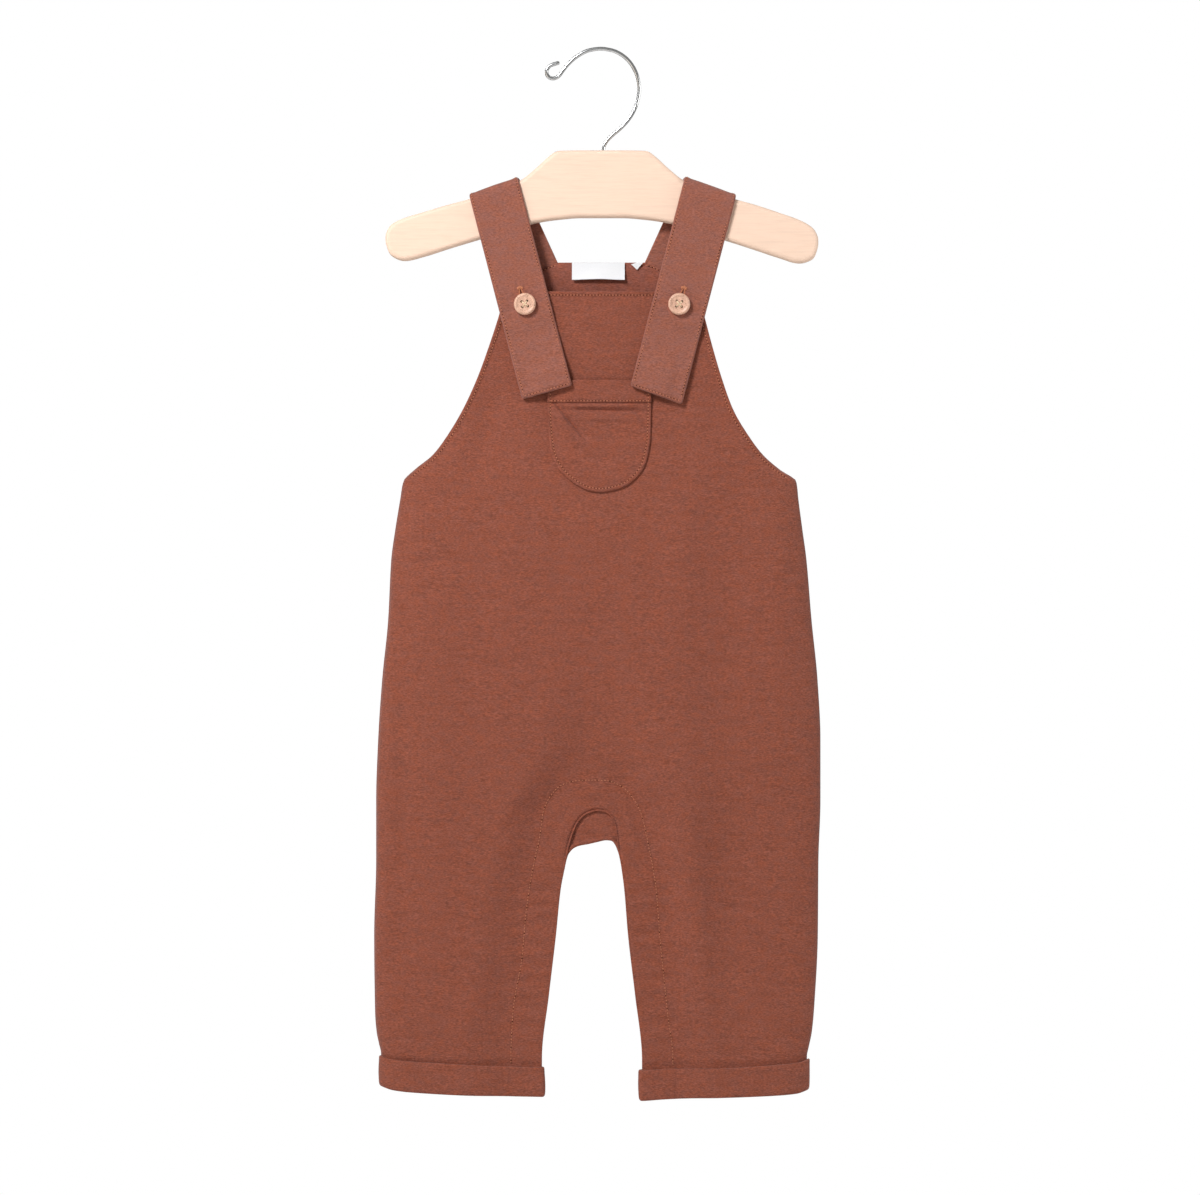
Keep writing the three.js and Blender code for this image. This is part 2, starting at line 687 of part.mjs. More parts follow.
const straps = table('name side frontRun', [
  ['left', -1, 138.1],
  ['right', 1, 140.0],
]);
for (const row of straps) {
  add(garment, `strap_${row.name}`, strap(row.side, row.frontRun), 'strap');
  const place = alongFront(row.side, BUTTON_DROP);
  const strapFace = FOLD_HALF_FLAT + FOLD_CORNER + STRAP_WALL / 2 + standOff(BUTTON_DROP, row.frontRun);
  const bibFace = openDepth(FRONT, place.x, place.z);
  const geometry = button(-strapFace - BUTTON_CLEAR, -bibFace - SEAM_GAP);
  const mesh = add(garment, `button_${row.name}`, geometry, 'button');
  mesh.position.set(place.x, 0, place.z);
  mesh.rotation.y = row.side * radians(BUTTON_TURN);
}

// Labels inside the back's neckline
const label = { width: 34.3, height: 11, wall: 0.6, x: -2.4, top: -137.6 };
const labelBack = lookup(DEPTHS, 'z', label.top, 'open') - CLOTH_WALL - SEAM_GAP;
const labelBox = new THREE.BoxGeometry(label.width, label.wall, label.height);
const labelMesh = add(garment, 'neck_label', labelBox, 'label');
labelMesh.position.set(label.x, labelBack - label.wall / 2, label.top - label.height / 2);

const tabCorners = table('x z', [
  [18.9, -138.7],
  [22.8, -142.2],
  [26.7, -137.6],
]);
add(garment, 'size_tab', prism(tabCorners, labelBack - label.wall, labelBack), 'label');

const hanger = new THREE.Group();
add(hanger, 'hanger_body', hangerBody(), 'wood');
add(hanger, 'hanger_hook', hangerHook(), 'wire');

group.add(garment, hanger);
export default group;
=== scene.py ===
"""Baby bib overalls hung on a small wooden hanger: the looks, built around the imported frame.

Tables are in millimetres, as the garment was measured. Blender's objects are in metres.
"""
import math

import bmesh
import bpy
import numpy as np
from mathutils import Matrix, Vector


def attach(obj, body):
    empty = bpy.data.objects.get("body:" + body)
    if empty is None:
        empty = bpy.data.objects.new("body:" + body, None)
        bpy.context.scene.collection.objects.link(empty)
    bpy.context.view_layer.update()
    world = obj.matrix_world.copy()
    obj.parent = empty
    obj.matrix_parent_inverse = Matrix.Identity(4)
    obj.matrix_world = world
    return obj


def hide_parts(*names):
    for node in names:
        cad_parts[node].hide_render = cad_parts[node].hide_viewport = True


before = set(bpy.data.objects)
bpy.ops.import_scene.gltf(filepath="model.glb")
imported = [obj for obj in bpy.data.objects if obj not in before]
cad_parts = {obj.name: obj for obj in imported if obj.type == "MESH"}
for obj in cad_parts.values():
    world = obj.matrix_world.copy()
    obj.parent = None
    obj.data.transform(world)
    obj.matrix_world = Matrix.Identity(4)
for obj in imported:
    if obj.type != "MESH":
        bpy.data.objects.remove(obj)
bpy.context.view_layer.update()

MM = 0.001
SHARP_TURN = math.radians(50)

# Cloth
CLOTH_WALL = 1.3
ROLL_RADIUS = 19.0
INNER_FALL = 32.0
ARMHOLE_FOOT = -280.0
CROTCH_ZONE = -440.0
FOLD_FADE, FOLD_ON_FLAT = 60.0, 0.25

# The hem along the armholes and the top edge
EDGE_HEM = 3.1
EDGE_STITCH_IN = 2.4
EDGE_ROUND, EDGE_DROP = 0.9, 0.55
HEM_SWELL = 0.75
STITCH_GROOVE, GROOVE_HALF = 0.45, 0.5

# The inner-leg bands, with free edges that roll in
SEAM_DIP, SEAM_HALF = 0.1, 0.8
BAND_ROLL_IN, BAND_ROLL_DEPTH, BAND_ROLL_HALF = 1.3, 0.75, 0.45
BAND_EDGE_DROP, BAND_EDGE_ROUND = 0.5, 1.1
ARCH_FROM, ARCH_RISE, ARCH_WIDER = -530.0, 14.0, 0.15
BAND_STITCH_OUT = 0.5

# The grid of half a panel: columns in from the outer edge and rows down from the top, then even ones
EDGE_COLUMNS = np.array([0, 0.15, 0.5, 0.9, 1.4, 1.8, 2.1, 2.4, 2.7, 3.0, 3.3, 3.7, 4.2, 5.0, 6.2,
                         7.8, 9.8, 12.4, 15.2, 18.5, 22, 26])
EDGE_ROWS = np.array([0, 0.15, 0.4, 0.8, 1.2, 1.6, 2.0, 2.3, 2.6, 2.9, 3.3, 3.8, 4.8, 6.4])
ROWS_FROM, ROW_STEP = 8.4, 2.1
FLAT_COLUMNS = 44
MIDDLE_POINTS = 59
SEAM_RUN = 245.0

# Leg ends and turned-up hems
LEG_END = -678.2
HEM_BOTTOM = -680.0
HEM_HEIGHT = 19.5
HEM_EASE = 60.0
HEM_CREASE, CREASE_UP, CREASE_HALF = 0.9, 1.4, 1.9
HEM_SEAM_X = {"left": -59.6, "right": 48.4}
INNER_LEG_X = {"left": -39.0, "right": 26.0}

# Straps, folded over the hanger's shoulders
STRAP_WIDTH = {-1: 33.6, 1: 35.4}
STRAP_SLANT, SLANT_RUN = {-1: 0.01, 1: 0.08}, 30.0
STRAP_WALL = 2.5
STRAP_LEAN = 14.6
SHOULDER_SLOPE = 19.6
STRAP_TOP_X, STRAP_TOP_Z = 69.9, -89.0
FOLD_HALF_FLAT = 2.5
FOLD_CORNER = 4.6
STRAP_STITCH_IN = 1.7
STRAP_CORNER = 1.8
STRAP_ROUND = 1.25

# Swells of the strap's seam allowance at its sides and end: height, reach from the edge and fade
SIDE_SWELL, SIDE_REACH, SIDE_FADE = 0.3, 3.8, 1.2
END_SWELL, END_REACH, END_FADE = 0.6, 6.5, 2.4
STRAP_GROOVE, STRAP_GROOVE_HALF = 0.5, 0.55

# How far the strap's front has dropped below its top: at its end, its button and its bends
FRONT_DROP = {-1: 138.1, 1: 140.0}
BUTTON_DROP = 79.0
STAND_OFF_FROM, STRAP_STAND_OFF = 45.0, 3.7
SETTLE_FROM, SETTLE_DEPTH, POCKET_FROM = 86.0, 2.1, 115.0

# Places along the strap from the middle of its fold
FRONT_END = {side: -drop - 5 for side, drop in FRONT_DROP.items()}
BACK_END = 76.0
SLOT_FROM, SLOT_TO, SLOT_WIDTH = 74.1, 86.5, 0.4
SATIN_FROM, SATIN_TO, SATIN_STEP = 73.6, 88.8, 0.42
TACK_FROM = 72.5

# Thread
STITCH_LENGTH = 1.15
STITCH_SPACING = 2.1
THREAD_RADIUS = 0.3
# Near-black bars between the stitches paint the shade in the needle holes; band rows get one only every
# fourth gap
DIP_LENGTH, DIP_RADIUS, DIP_DEPTH = 0.75, 0.34, 0.06
BAND_DIP_EVERY = 4

# Room and camera: the photograph's frame is 780 mm wide where the garment hangs
AMBIENT_FRONT, AMBIENT_BEHIND = 0.27, 0.22
CAMERA_DISTANCE = 3.0
FRAME_WIDTH = 0.78
CENTRE_X, CENTRE_Z = -0.0013, -0.3555
SENSOR = 36.0


def table(columns, rows):
    """Rows of numbers as one array for each named column."""
    return dict(zip(columns.split(), np.array(rows, dtype=float).T))


FRONT_OUTLINE = table("z left right", [
    (-156.9, -63, 62.4), (-175, -67.6, 67), (-194.6, -74.1, 72.2), (-214, -81.3, 78),
    (-233.6, -90.4, 85.2), (-253, -102.1, 96.9), (-263, -109.9, 104.7), (-272.6, -121.6, 115.7),
    (-280, -128.6, 126), (-292, -130.7, 127.4), (-311.6, -133.9, 130), (-331, -136.5, 132.6),
    (-370, -138.5, 135.9), (-409, -142.4, 139.8), (-448, -145, 141.7), (-487, -146.3, 141.7),
    (-526, -146.3, 140.4), (-575, -147.6, 140), (-625, -147, 137.4), (-640, -146, 136),
    (-650, -144.4, 134.2), (-657, -143.1, 132.9), (-700, -142.8, 132.6),
])
BACK_OUTLINE = table("z left right", [
    (-137.4, -29.3, 28), (-144.4, -44.4, 43), (-151.4, -59.2, 57.9), (-160, -63.6, 61.9),
] + [tuple(row) for row in np.array(list(FRONT_OUTLINE.values())).T[1:] - [0, 0.5, -0.3]])

# The seam of each inner-leg band, from the left hem over the crotch to the right hem
FRONT_SEAM = table("x z", [
    (-59, -690), (-58.6, -650), (-57.2, -623.6), (-51.4, -589), (-48.7, -559),
    (-43.9, -529), (-39.6, -509.2), (-37.7, -494.9), (-33.2, -485), (-25.3, -477.4),
    (-14.3, -474.8), (-6, -474.6), (2, -474.8), (11.5, -478), (18.6, -484.6), (25, -496),
    (28.8, -512), (34.6, -544.3), (37, -574.2), (42.2, -626.2), (45.5, -652.9), (45.8, -690),
])
BACK_SEAM = dict(FRONT_SEAM, z=FRONT_SEAM["z"] - 18.0)

# The free edge of each band: the inner legs and the crotch arch between them
LEG_EDGE_LEFT = [(-39, -690), (-39, -655), (-34.5, -614), (-29.9, -575), (-26.8, -545), (-23.9, -530)]
LEG_EDGE_RIGHT = [(12.4, -530), (14.4, -545), (16.9, -575), (21.5, -614), (26, -655), (26, -690)]
FRONT_EDGE = table("x z", LEG_EDGE_LEFT + [
    (-21.8, -519), (-19.6, -511), (-16.6, -503.5), (-12.9, -498.5), (-8.5, -495.6),
    (-3, -494.3), (2.4, -495.2), (6.2, -498.5), (8.4, -503.5), (9.5, -511), (10.4, -519),
] + LEG_EDGE_RIGHT)
BACK_EDGE = table("x z", LEG_EDGE_LEFT + [
    (-22.2, -523.4), (-19.4, -519.2), (-15, -517), (-8.4, -515.7), (-2.4, -514.3), (2.6, -513.2),
    (6.4, -513.6), (8.8, -516.4), (10, -519.6), (11.2, -523.8),
] + LEG_EDGE_RIGHT)

# Depth of the cloth's outer face: on the open part, at the outer edge, and on the flat strip
DEPTHS = table("z open edge flat left right", [
    (-137.4, 5.5, 5.5, 5.5, -3, -3), (-215, 5.5, 5.4, 5.5, -3, -3),
    (-240, 6, 4.2, 6, -3, -3), (-263, 7.2, 2.2, 7.2, -3, -3),
    (-280, 8.4, 0.15, 8.4, -3, -3), (-331, 10.5, 0.15, 10.2, -3, -3),
    (-400, 11, 0.15, 8.6, -4, -2), (-448, 11, 0.15, 5.2, -10, 4),
    (-480, 10.6, 0.15, 2.2, -24, 15), (-494.3, 10.2, 0.15, 1.6, -34, 24),
    (-514, 9.8, 0.15, 1.6, -40, 29), (-545, 9.4, 0.15, 1.6, -46.8, 34.4),
    (-575, 9.2, 0.15, 1.6, -50, 37), (-614, 9, 0.15, 1.6, -54.5, 41.5),
    (-655, 8, 0.15, 1.6, -59, 46), (-700, 8, 0.15, 1.6, -59, 46),
])

# Folds and creases, given one by one: from, to, height (a trough is negative) and half width
FRONT_FOLDS = table("x0 z0 x1 z1 height half", [
    (80, -286, 83, -598, -2.8, 30), (78, -520, 84, -640, -1.4, 20), (55, -470, 60, -655, 1.3, 17),
    (-1, -345, -10, -470, -1.9, 22), (-128, -300, -131, -600, -1.6, 11), (-104, -330, -112, -610, 1.3, 20),
    (-60, -289, -62, -403, 1.1, 18), (51, -289, 50, -419, 1.1, 17), (-68, -222, -84, -275, -1.6, 13),
    (66, -228, 92, -290, -1, 12), (-30, -300, -24, -390, -0.7, 12), (24, -292, 20, -372, 0.6, 12),
    (112, -300, 118, -470, 0.9, 14), (-82, -430, -72, -560, -0.9, 16), (-68, -575, -92, -640, 0.8, 14),
    (-133, -333, -97, -331, -0.8, 4), (-129, -326, -104, -324, 0.5, 3.5),
    (-130, -319, -110, -320, -0.6, 3.2), (-126, -292, -106, -294, -0.5, 3.4),
    (-118, -345, -82, -362, -0.5, 6), (-122, -300, -96, -330, 0.4, 6),
    (30, -500, 56, -520, -0.7, 5), (26, -478, 50, -490, -0.6, 4.5), (33, -515, 52, -541, 0.5, 5),
    (68, -553, 104, -560, -0.8, 4.5), (72, -562, 100, -567, 0.5, 4), (106, -563, 133, -577, -0.8, 4.2),
    (104, -572, 128, -585, 0.5, 4), (50, -571, 72, -574, -0.6, 3.8), (52, -594, 72, -597, -0.6, 4),
    (114, -635, 133, -647, -0.8, 4), (96, -640, 118, -655, 0.5, 5), (34, -656, 64, -661, -0.8, 4),
    (-140, -640, -118, -645, -0.8, 3.8), (-132, -630, -112, -638, 0.5, 5), (-78, -648, -56, -655, -0.5, 4),
    (-52, -494, -70, -516, -0.6, 5), (-50, -520, -72, -535, 0.5, 5), (-58, -560, -84, -572, -0.5, 5),
    (44, -450, 50, -650, 2.6, 34), (104, -470, 108, -640, -2, 34),
    (-60, -523, -27, -525, -1.8, 3), (-58, -535, -28, -532, 1.2, 3.2), (-62, -545, -30, -547, -1.7, 2.8),
    (-60, -557, -31, -554, -2, 3.2), (-64, -568, -32, -570, -1.2, 2.6), (-60, -581, -33, -578, -1.9, 3.2),
    (-62, -593, -34, -596, -1.3, 2.8), (-64, -606, -35, -603, -1.9, 3.4), (-60, -620, -37, -622, -1.2, 2.8),
    (-58, -633, -40, -630, -1.5, 3), (16, -548, 44, -546, -1.7, 3), (18, -560, 46, -564, -1.3, 2.8),
    (19, -575, 44, -572, -2, 3.2), (20, -590, 50, -594, -1.4, 2.8), (22, -604, 52, -601, -1.9, 3.2),
    (24, -618, 50, -622, -1.4, 3), (26, -632, 54, -629, -1.8, 3), (-16, -486, 6, -489, -1.6, 3.2),
    (8, -489, 16, -502, -1.8, 2.8), (-22, -492, -30, -508, -1.2, 3), (12, -510, 22, -520, -1.8, 3.2),
    (18, -522, 27, -535, -1.8, 3),
    (95, -600, 124, -616, -0.5, 6), (-120, -560, -96, -580, -0.4, 7), (4, -395, 26, -430, -0.5, 8),
])
BACK_FOLDS = table("x0 z0 x1 z1 height half", [
    (74, -300, 78, -610, -2.4, 28), (-74, -296, -82, -600, -2.2, 30), (2, -340, -6, -480, -1.8, 22),
    (108, -320, 112, -560, 1.1, 18), (-108, -330, -114, -600, 1.2, 19), (48, -292, 52, -415, 1, 17),
    (-50, -290, -54, -400, 1.1, 18), (40, -150, 46, -260, -0.8, 14), (-38, -150, -48, -255, -0.9, 15),
    (-132, -330, -100, -328, -0.8, 4.2), (-126, -305, -104, -309, -0.6, 3.6),
    (128, -345, 98, -341, -0.8, 4.2), (130, -318, 108, -322, -0.5, 3.8),
    (48, -512, 70, -535, -0.7, 5), (-60, -510, -84, -530, -0.7, 5), (62, -560, 96, -568, -0.7, 4.5),
    (-66, -566, -104, -574, -0.8, 4.6), (104, -600, 130, -612, -0.6, 5),
    (-110, -610, -136, -622, -0.7, 4.6), (44, -640, 72, -650, -0.6, 4.5),
    (-96, -640, -66, -650, -0.6, 4.6), (-15, -509, 1, -512, 1.3, 4.5), (0, -200, 10, -300, 0.6, 20),
    (-20, -420, 14, -440, -0.6, 7), (-16, -450, 18, -456, -0.5, 6),
])

# Small cushions between the gathers of the inner-leg bands
BAND_PUCKERS = table("x0 z0 x1 z1 height half", [
    (-58, -528, -26, -530, 0.75, 4.6), (-60, -541, -28, -539, 0.6, 4.8), (-60, -551, -30, -553, 0.7, 4.4),
    (-62, -563, -31, -561, 0.75, 4.6), (-60, -575, -33, -577, 0.6, 5), (-62, -588, -34, -586, 0.8, 4.6),
    (-62, -600, -35, -602, 0.65, 5), (-60, -613, -36, -611, 0.7, 4.8), (-60, -627, -38, -629, 0.7, 5.2),
    (-58, -641, -39, -643, 0.6, 4.8), (14, -540, 42, -542, 0.6, 4.8), (16, -554, 44, -552, 0.75, 4.8),
    (17, -567, 46, -569, 0.65, 4.8), (19, -581, 46, -579, 0.75, 5.2), (20, -597, 50, -599, 0.7, 5),
    (22, -611, 50, -609, 0.75, 5.2), (24, -625, 50, -627, 0.6, 4.8), (26, -640, 52, -638, 0.7, 5.2),
    (-30, -490, -20, -512, 0.6, 4.4), (14, -492, 22, -514, 0.6, 4.4), (-12, -482, 4, -483, 0.4, 4.6),
])

HEM_LINE = table("x rise", [
    (-145, 8), (-136, 5), (-124, 3.6), (-95, 1.8), (-60, 0.5), (-38, 0),
    (24, -2.6), (40, -1.6), (60, -0.6), (95, 0.6), (126, 2.6), (135, 5.4),
])

POCKET_EDGE = table("x z", [
    (-35.8, -214.4), (-35.8, -228), (-35.5, -240), (-34.4, -253), (-32.8, -262),
    (-28.9, -270.7), (-22.8, -277.8), (-15.6, -283), (-8.6, -286.2), (-1, -287.2),
    (6.4, -286.2), (15.6, -283), (22.1, -277.8), (27.3, -270.7), (29.9, -262), (31.4, -253),
    (32, -240), (32.2, -228), (32.2, -214.4),
])


def smoothstep(value):
    share = np.clip(value, 0.0, 1.0)
    return share * share * (3 - 2 * share)


def bell(away, half):
    return np.exp(-(away / half) ** 2)


def through(xs, ys, at):
    """A smooth curve through points that never swings past them."""
    order = np.argsort(xs, kind="stable")
    xs, ys = np.asarray(xs, float)[order], np.asarray(ys, float)[order]
    step = np.maximum(np.diff(xs), 1e-9)
    rise = np.diff(ys) / step
    slope = np.concatenate([rise[:1], np.zeros(len(xs) - 2), rise[-1:]])
    same = rise[:-1] * rise[1:] > 0
    both = np.where(same, rise[:-1] + rise[1:], 1.0)
    slope[1:-1] = np.where(same, 2 * rise[:-1] * rise[1:] / both, 0.0)
    at = np.clip(at, xs[0], xs[-1])
    i = np.clip(np.searchsorted(xs, at) - 1, 0, len(step) - 1)
    t = (at - xs[i]) / step[i]
    return (ys[i] * (1 + 2 * t) * (1 - t) ** 2 + slope[i] * step[i] * t * (1 - t) ** 2
            + ys[i + 1] * t * t * (3 - 2 * t) + slope[i + 1] * step[i] * t * t * (t - 1))


def run_along(x, z):
    """The distance run along a line at each of its points."""
    return np.concatenate([[0], np.cumsum(np.hypot(np.diff(x), np.diff(z)))])


def route(points, count):
    """Evenly spaced points along a smooth line through a table's two columns."""
    x, z = points.values()
    run = run_along(x, z)
    fine = np.linspace(0, run[-1], 60 * len(x))
    fx, fz = through(run, x, fine), through(run, z, fine)
    length = run_along(fx, fz)
    at = np.linspace(0, length[-1], count)
    return np.interp(at, length, fx), np.interp(at, length, fz)


def distance_to(x, z, line_x, line_z):
    """Least distance from each point to a line of short segments."""
    best = np.full(np.shape(x), 1e9)
    for x0, z0, x1, z1 in zip(line_x[:-1], line_z[:-1], line_x[1:], line_z[1:]):
        dx, dz = x1 - x0, z1 - z0
        share = np.clip(((x - x0) * dx + (z - z0) * dz) / max(dx * dx + dz * dz, 1e-9), 0, 1)
        best = np.minimum(best, np.hypot(x - x0 - share * dx, z - z0 - share * dz))
    return best


def fold_height(folds, x, z):
    """Sum of the soft folds at each point."""
    height = np.zeros(np.shape(x))
    for x0, z0, x1, z1, rise, half in np.array(list(folds.values())).T:
        length = math.hypot(x1 - x0, z1 - z0)
        ux, uz = (x1 - x0) / length, (z1 - z0) / length
        along = (x - x0) * ux + (z - z0) * uz
        aside = np.abs((x - x0) * uz - (z - z0) * ux)
        fade = min(FOLD_FADE, 0.6 * length)
        ends = smoothstep(along / fade + 0.5) * smoothstep((length - along) / fade + 0.5)
        height += rise * ends * smoothstep(1 - aside / half)
    return height


def unevenness(x, z, phase):
    """Shallow waves that keep a hanging cloth from looking pressed."""
    first = 0.26 * np.sin(x / 15.0 + 1.4 * np.sin(z / 37.0 + phase)) * np.sin(z / 24.0 + phase)
    second = 0.10 * np.sin(x / 6.1 + 2 * np.sin(z / 13.0) + phase) * np.sin(z / 8.3 + np.sin(x / 11.0))
    return first + second


def open_depth(folds, x, z):
    """Distance of the cloth's outer face from the middle plane, away from its rolled edge."""
    left = through(DEPTHS["z"], DEPTHS["left"], z)
    right = through(DEPTHS["z"], DEPTHS["right"], z)
    share = smoothstep(np.maximum(left - x, x - right) / INNER_FALL)
    flat = through(DEPTHS["z"], DEPTHS["flat"], z)
    full = through(DEPTHS["z"], DEPTHS["open"], z)
    puckers = fold_height(BAND_PUCKERS, x, z) * (1 - share)
    return flat + (full - flat) * share + fold_height(folds, x, z) * np.maximum(share, FOLD_ON_FLAT) + puckers


# Panels. Each half is a grid from its outer edge to the middle line and the band's seam
class Panel:
    def __init__(self, sign, outline, seam, edge, folds, top):
        self.sign = sign
        self.outline = outline
        self.seam = seam
        self.edge = edge
        self.folds = folds
        self.top = top
        self.seam_line = route(seam, 160)
        self.band_line = route(edge, 160)

    def outer_x(self, half, z):
        return through(self.outline["z"], self.outline[half], z)

    def roll(self, x, z):
        """How far round its side roll a point is, 0 at the side seam and 1 on the open cloth."""
        inside = np.minimum(x - self.outer_x("left", z), self.outer_x("right", z) - x)
        return np.sqrt(np.maximum(1 - (1 - np.clip(inside / ROLL_RADIUS, 0, 1)) ** 2, 0))

    def free_edge(self):
        """The hemmed edge from one armhole's foot over the top to the other."""
        z = np.linspace(ARMHOLE_FOOT, self.top, 70)
        left, right = self.outer_x("left", z), self.outer_x("right", z)
        return np.concatenate([left, right[::-1]]), np.concatenate([z, z[::-1]])

    def depth(self, x, z):
        edge = through(DEPTHS["z"], DEPTHS["edge"], z)
        crease = HEM_CREASE * bell(z - HEM_BOTTOM - HEM_HEIGHT - CREASE_UP, CREASE_HALF)
        open_cloth = open_depth(self.folds, x, z) + unevenness(x, z, self.sign) - crease
        return edge + (open_cloth - edge) * self.roll(x, z)

    def edge_hem(self, x, z):
        """Extra height of the doubled hem along the free edge, with a groove at its stitches."""
        away = distance_to(x, z, *self.free_edge())
        hem = HEM_SWELL * smoothstep((EDGE_HEM + 0.4 - away) / EDGE_ROUND)
        groove = STITCH_GROOVE * bell(away - EDGE_STITCH_IN, GROOVE_HALF)
        edge = 1 - np.sqrt(1 - (1 - np.minimum(away / EDGE_ROUND, 1)) ** 2)
        return np.where(z > ARMHOLE_FOOT - 4, hem - groove - EDGE_DROP * edge, 0.0)

    def band_dip(self, x, z):
        """How far the cloth dips at the band's seam and along its rolled free edge."""
        seam = SEAM_DIP * bell(distance_to(x, z, *self.seam_line), SEAM_HALF)
        away = distance_to(x, z, *self.band_line)
        arch = smoothstep((z - ARCH_FROM) / ARCH_RISE)
        roll = (0.5 + arch) * bell(away - BAND_ROLL_IN, BAND_ROLL_HALF + ARCH_WIDER * arch)
        edge = (1 - np.minimum(away / BAND_EDGE_ROUND, 1)) ** 2
        return np.where(z < CROTCH_ZONE, seam + BAND_ROLL_DEPTH * roll + BAND_EDGE_DROP * edge, 0.0)

    def place(self, x, z, out=0.0):
        """Points in the row frame, in millimetres, on the outer face or a little proud of it."""
        y = self.sign * (self.depth(x, z) + self.edge_hem(x, z) - self.band_dip(x, z) + out)
        ease = smoothstep((LEG_END + HEM_EASE - z) / HEM_EASE)
        rise = through(HEM_LINE["x"], HEM_LINE["rise"], x)
        return np.stack([x, y, z + rise * ease], axis=-1)


FRONT = Panel(-1, FRONT_OUTLINE, FRONT_SEAM, FRONT_EDGE, FRONT_FOLDS, -156.9)
BACK = Panel(1, BACK_OUTLINE, BACK_SEAM, BACK_EDGE, BACK_FOLDS, -137.4)


def seam_half(panel, half):
    """Middle line from the top, then the band's seam down one leg, as x and z."""
    x, z = route(panel.seam, 500)
    crotch = int(np.argmax(z))
    if half == "left":
        x, z = x[crotch::-1], z[crotch::-1]
    else:
        x, z = x[crotch:], z[crotch:]
    keep = z > LEG_END
    x, z = np.append(x[keep], x[keep][-1]), np.append(z[keep], LEG_END)
    middle = np.linspace(panel.top, z[0], MIDDLE_POINTS + 1)[:-1]
    return np.concatenate([np.full(MIDDLE_POINTS, x[0]), x]), np.concatenate([middle, z])


def panel_grid(panel, half):
    """Grid points of one half. Both halves share their points on the middle line."""
    inner_x, inner_z = seam_half(panel, half)
    run = run_along(inner_x, inner_z)
    middle, crotch = run[MIDDLE_POINTS], inner_z[MIDDLE_POINTS]
    stretch = SEAM_RUN / (run[-1] - middle)
    run = np.where(run > middle, middle + (run - middle) * stretch, run)
    bottom = middle + SEAM_RUN
    knots = [panel.top, crotch + 45, crotch - 90, LEG_END]
    places = [0, middle - 45, bottom - (crotch - 90 - LEG_END), bottom]
    rows = int((panel.top - LEG_END) / ROW_STEP)
    outer_z = np.concatenate([panel.top - EDGE_ROWS, np.linspace(panel.top - ROWS_FROM, LEG_END, rows)])
    at = through(np.negative(knots), places, -outer_z)
    at[np.argmin(np.abs(at - middle))] = middle
    inner_x, inner_z = (np.interp(at, run, line)[:, None] for line in (inner_x, inner_z))
    outer_x, outer_z = panel.outer_x(half, outer_z)[:, None], outer_z[:, None]
    reach = np.abs(inner_x - outer_x)
    rolled = np.minimum(1, 0.6 * reach / ROLL_RADIUS) * EDGE_COLUMNS
    flats = np.linspace(0, 1, FLAT_COLUMNS + 1)[1:]
    flat = rolled[:, -1:] + (reach - rolled[:, -1:]) * flats
    share = np.concatenate([rolled, flat], axis=1) / reach
    return outer_x + (inner_x - outer_x) * share, outer_z + (inner_z - outer_z) * share


def grid_faces(rows, columns, start=0, turned=False):
    r, c = np.meshgrid(np.arange(rows - 1), np.arange(columns - 1), indexing="ij")
    a = (start + r * columns + c).ravel()
    quads = np.stack([a, a + columns, a + columns + 1, a + 1], axis=1)
    return quads[:, ::-1] if turned else quads


def ring_faces(rings, size):
    """Quads between each ring of points and the next."""
    r, s = np.meshgrid(np.arange(rings - 1), np.arange(size), indexing="ij")
    a, b = (r * size + s).ravel(), (r * size + (s + 1) % size).ravel()
    return np.stack([a, b, b + size, a + size], axis=1)


def bar_faces(rings, size):
    """The same quads, and one face over each end."""
    return [*ring_faces(rings, size), range(size)[::-1], range((rings - 1) * size, rings * size)]


def new_object(name, points, faces):
    """A smooth mesh object from points in millimetres."""
    mesh = bpy.data.meshes.new(name)
    places = (np.asarray(points).reshape(-1, 3) * MM).tolist()
    mesh.from_pydata(places, [], [list(map(int, face)) for face in faces])
    mesh.validate()
    mesh.polygons.foreach_set("use_smooth", [True] * len(mesh.polygons))
    obj = bpy.data.objects.new(name, mesh)
    bpy.context.scene.collection.objects.link(obj)
    return obj


def closed_object(name, points, faces):
    """A closed body whose faces all look outwards."""
    obj = new_object(name, points, faces)
    body = bmesh.new()
    body.from_mesh(obj.data)
    bmesh.ops.recalc_face_normals(body, faces=body.faces)
    body.to_mesh(obj.data)
    body.free()
    return obj


def apply_modifiers(obj):
    bpy.context.view_layer.update()
    graph = bpy.context.evaluated_depsgraph_get()
    mesh = bpy.data.meshes.new_from_object(obj.evaluated_get(graph))
    obj.modifiers.clear()
    obj.data = mesh
    return obj


def thicken(obj, wall, merge=0.02):
    """Merges the halves along their shared line and gives the sheet its wall, inwards."""
    weld = obj.modifiers.new("weld", "WELD")
    weld.merge_threshold = merge * MM
    solid = obj.modifiers.new("wall", "SOLIDIFY")
    solid.thickness = wall * MM
    solid.offset = -1
    solid.use_rim = True
    apply_modifiers(obj)
    obj.data.set_sharp_from_angle(angle=SHARP_TURN)
    return obj


def panel_sheet(name, panel):
    points, faces, start = [], [], 0
    for half in ("left", "right"):
        x, z = panel_grid(panel, half)
        turned = (half == "right") != (panel.sign > 0)
        faces.append(grid_faces(*x.shape, start, turned))
        points.append(panel.place(x, z).reshape(-1, 3))
        start += x.size
    return thicken(new_object(name, np.concatenate(points), np.concatenate(faces)), CLOTH_WALL)


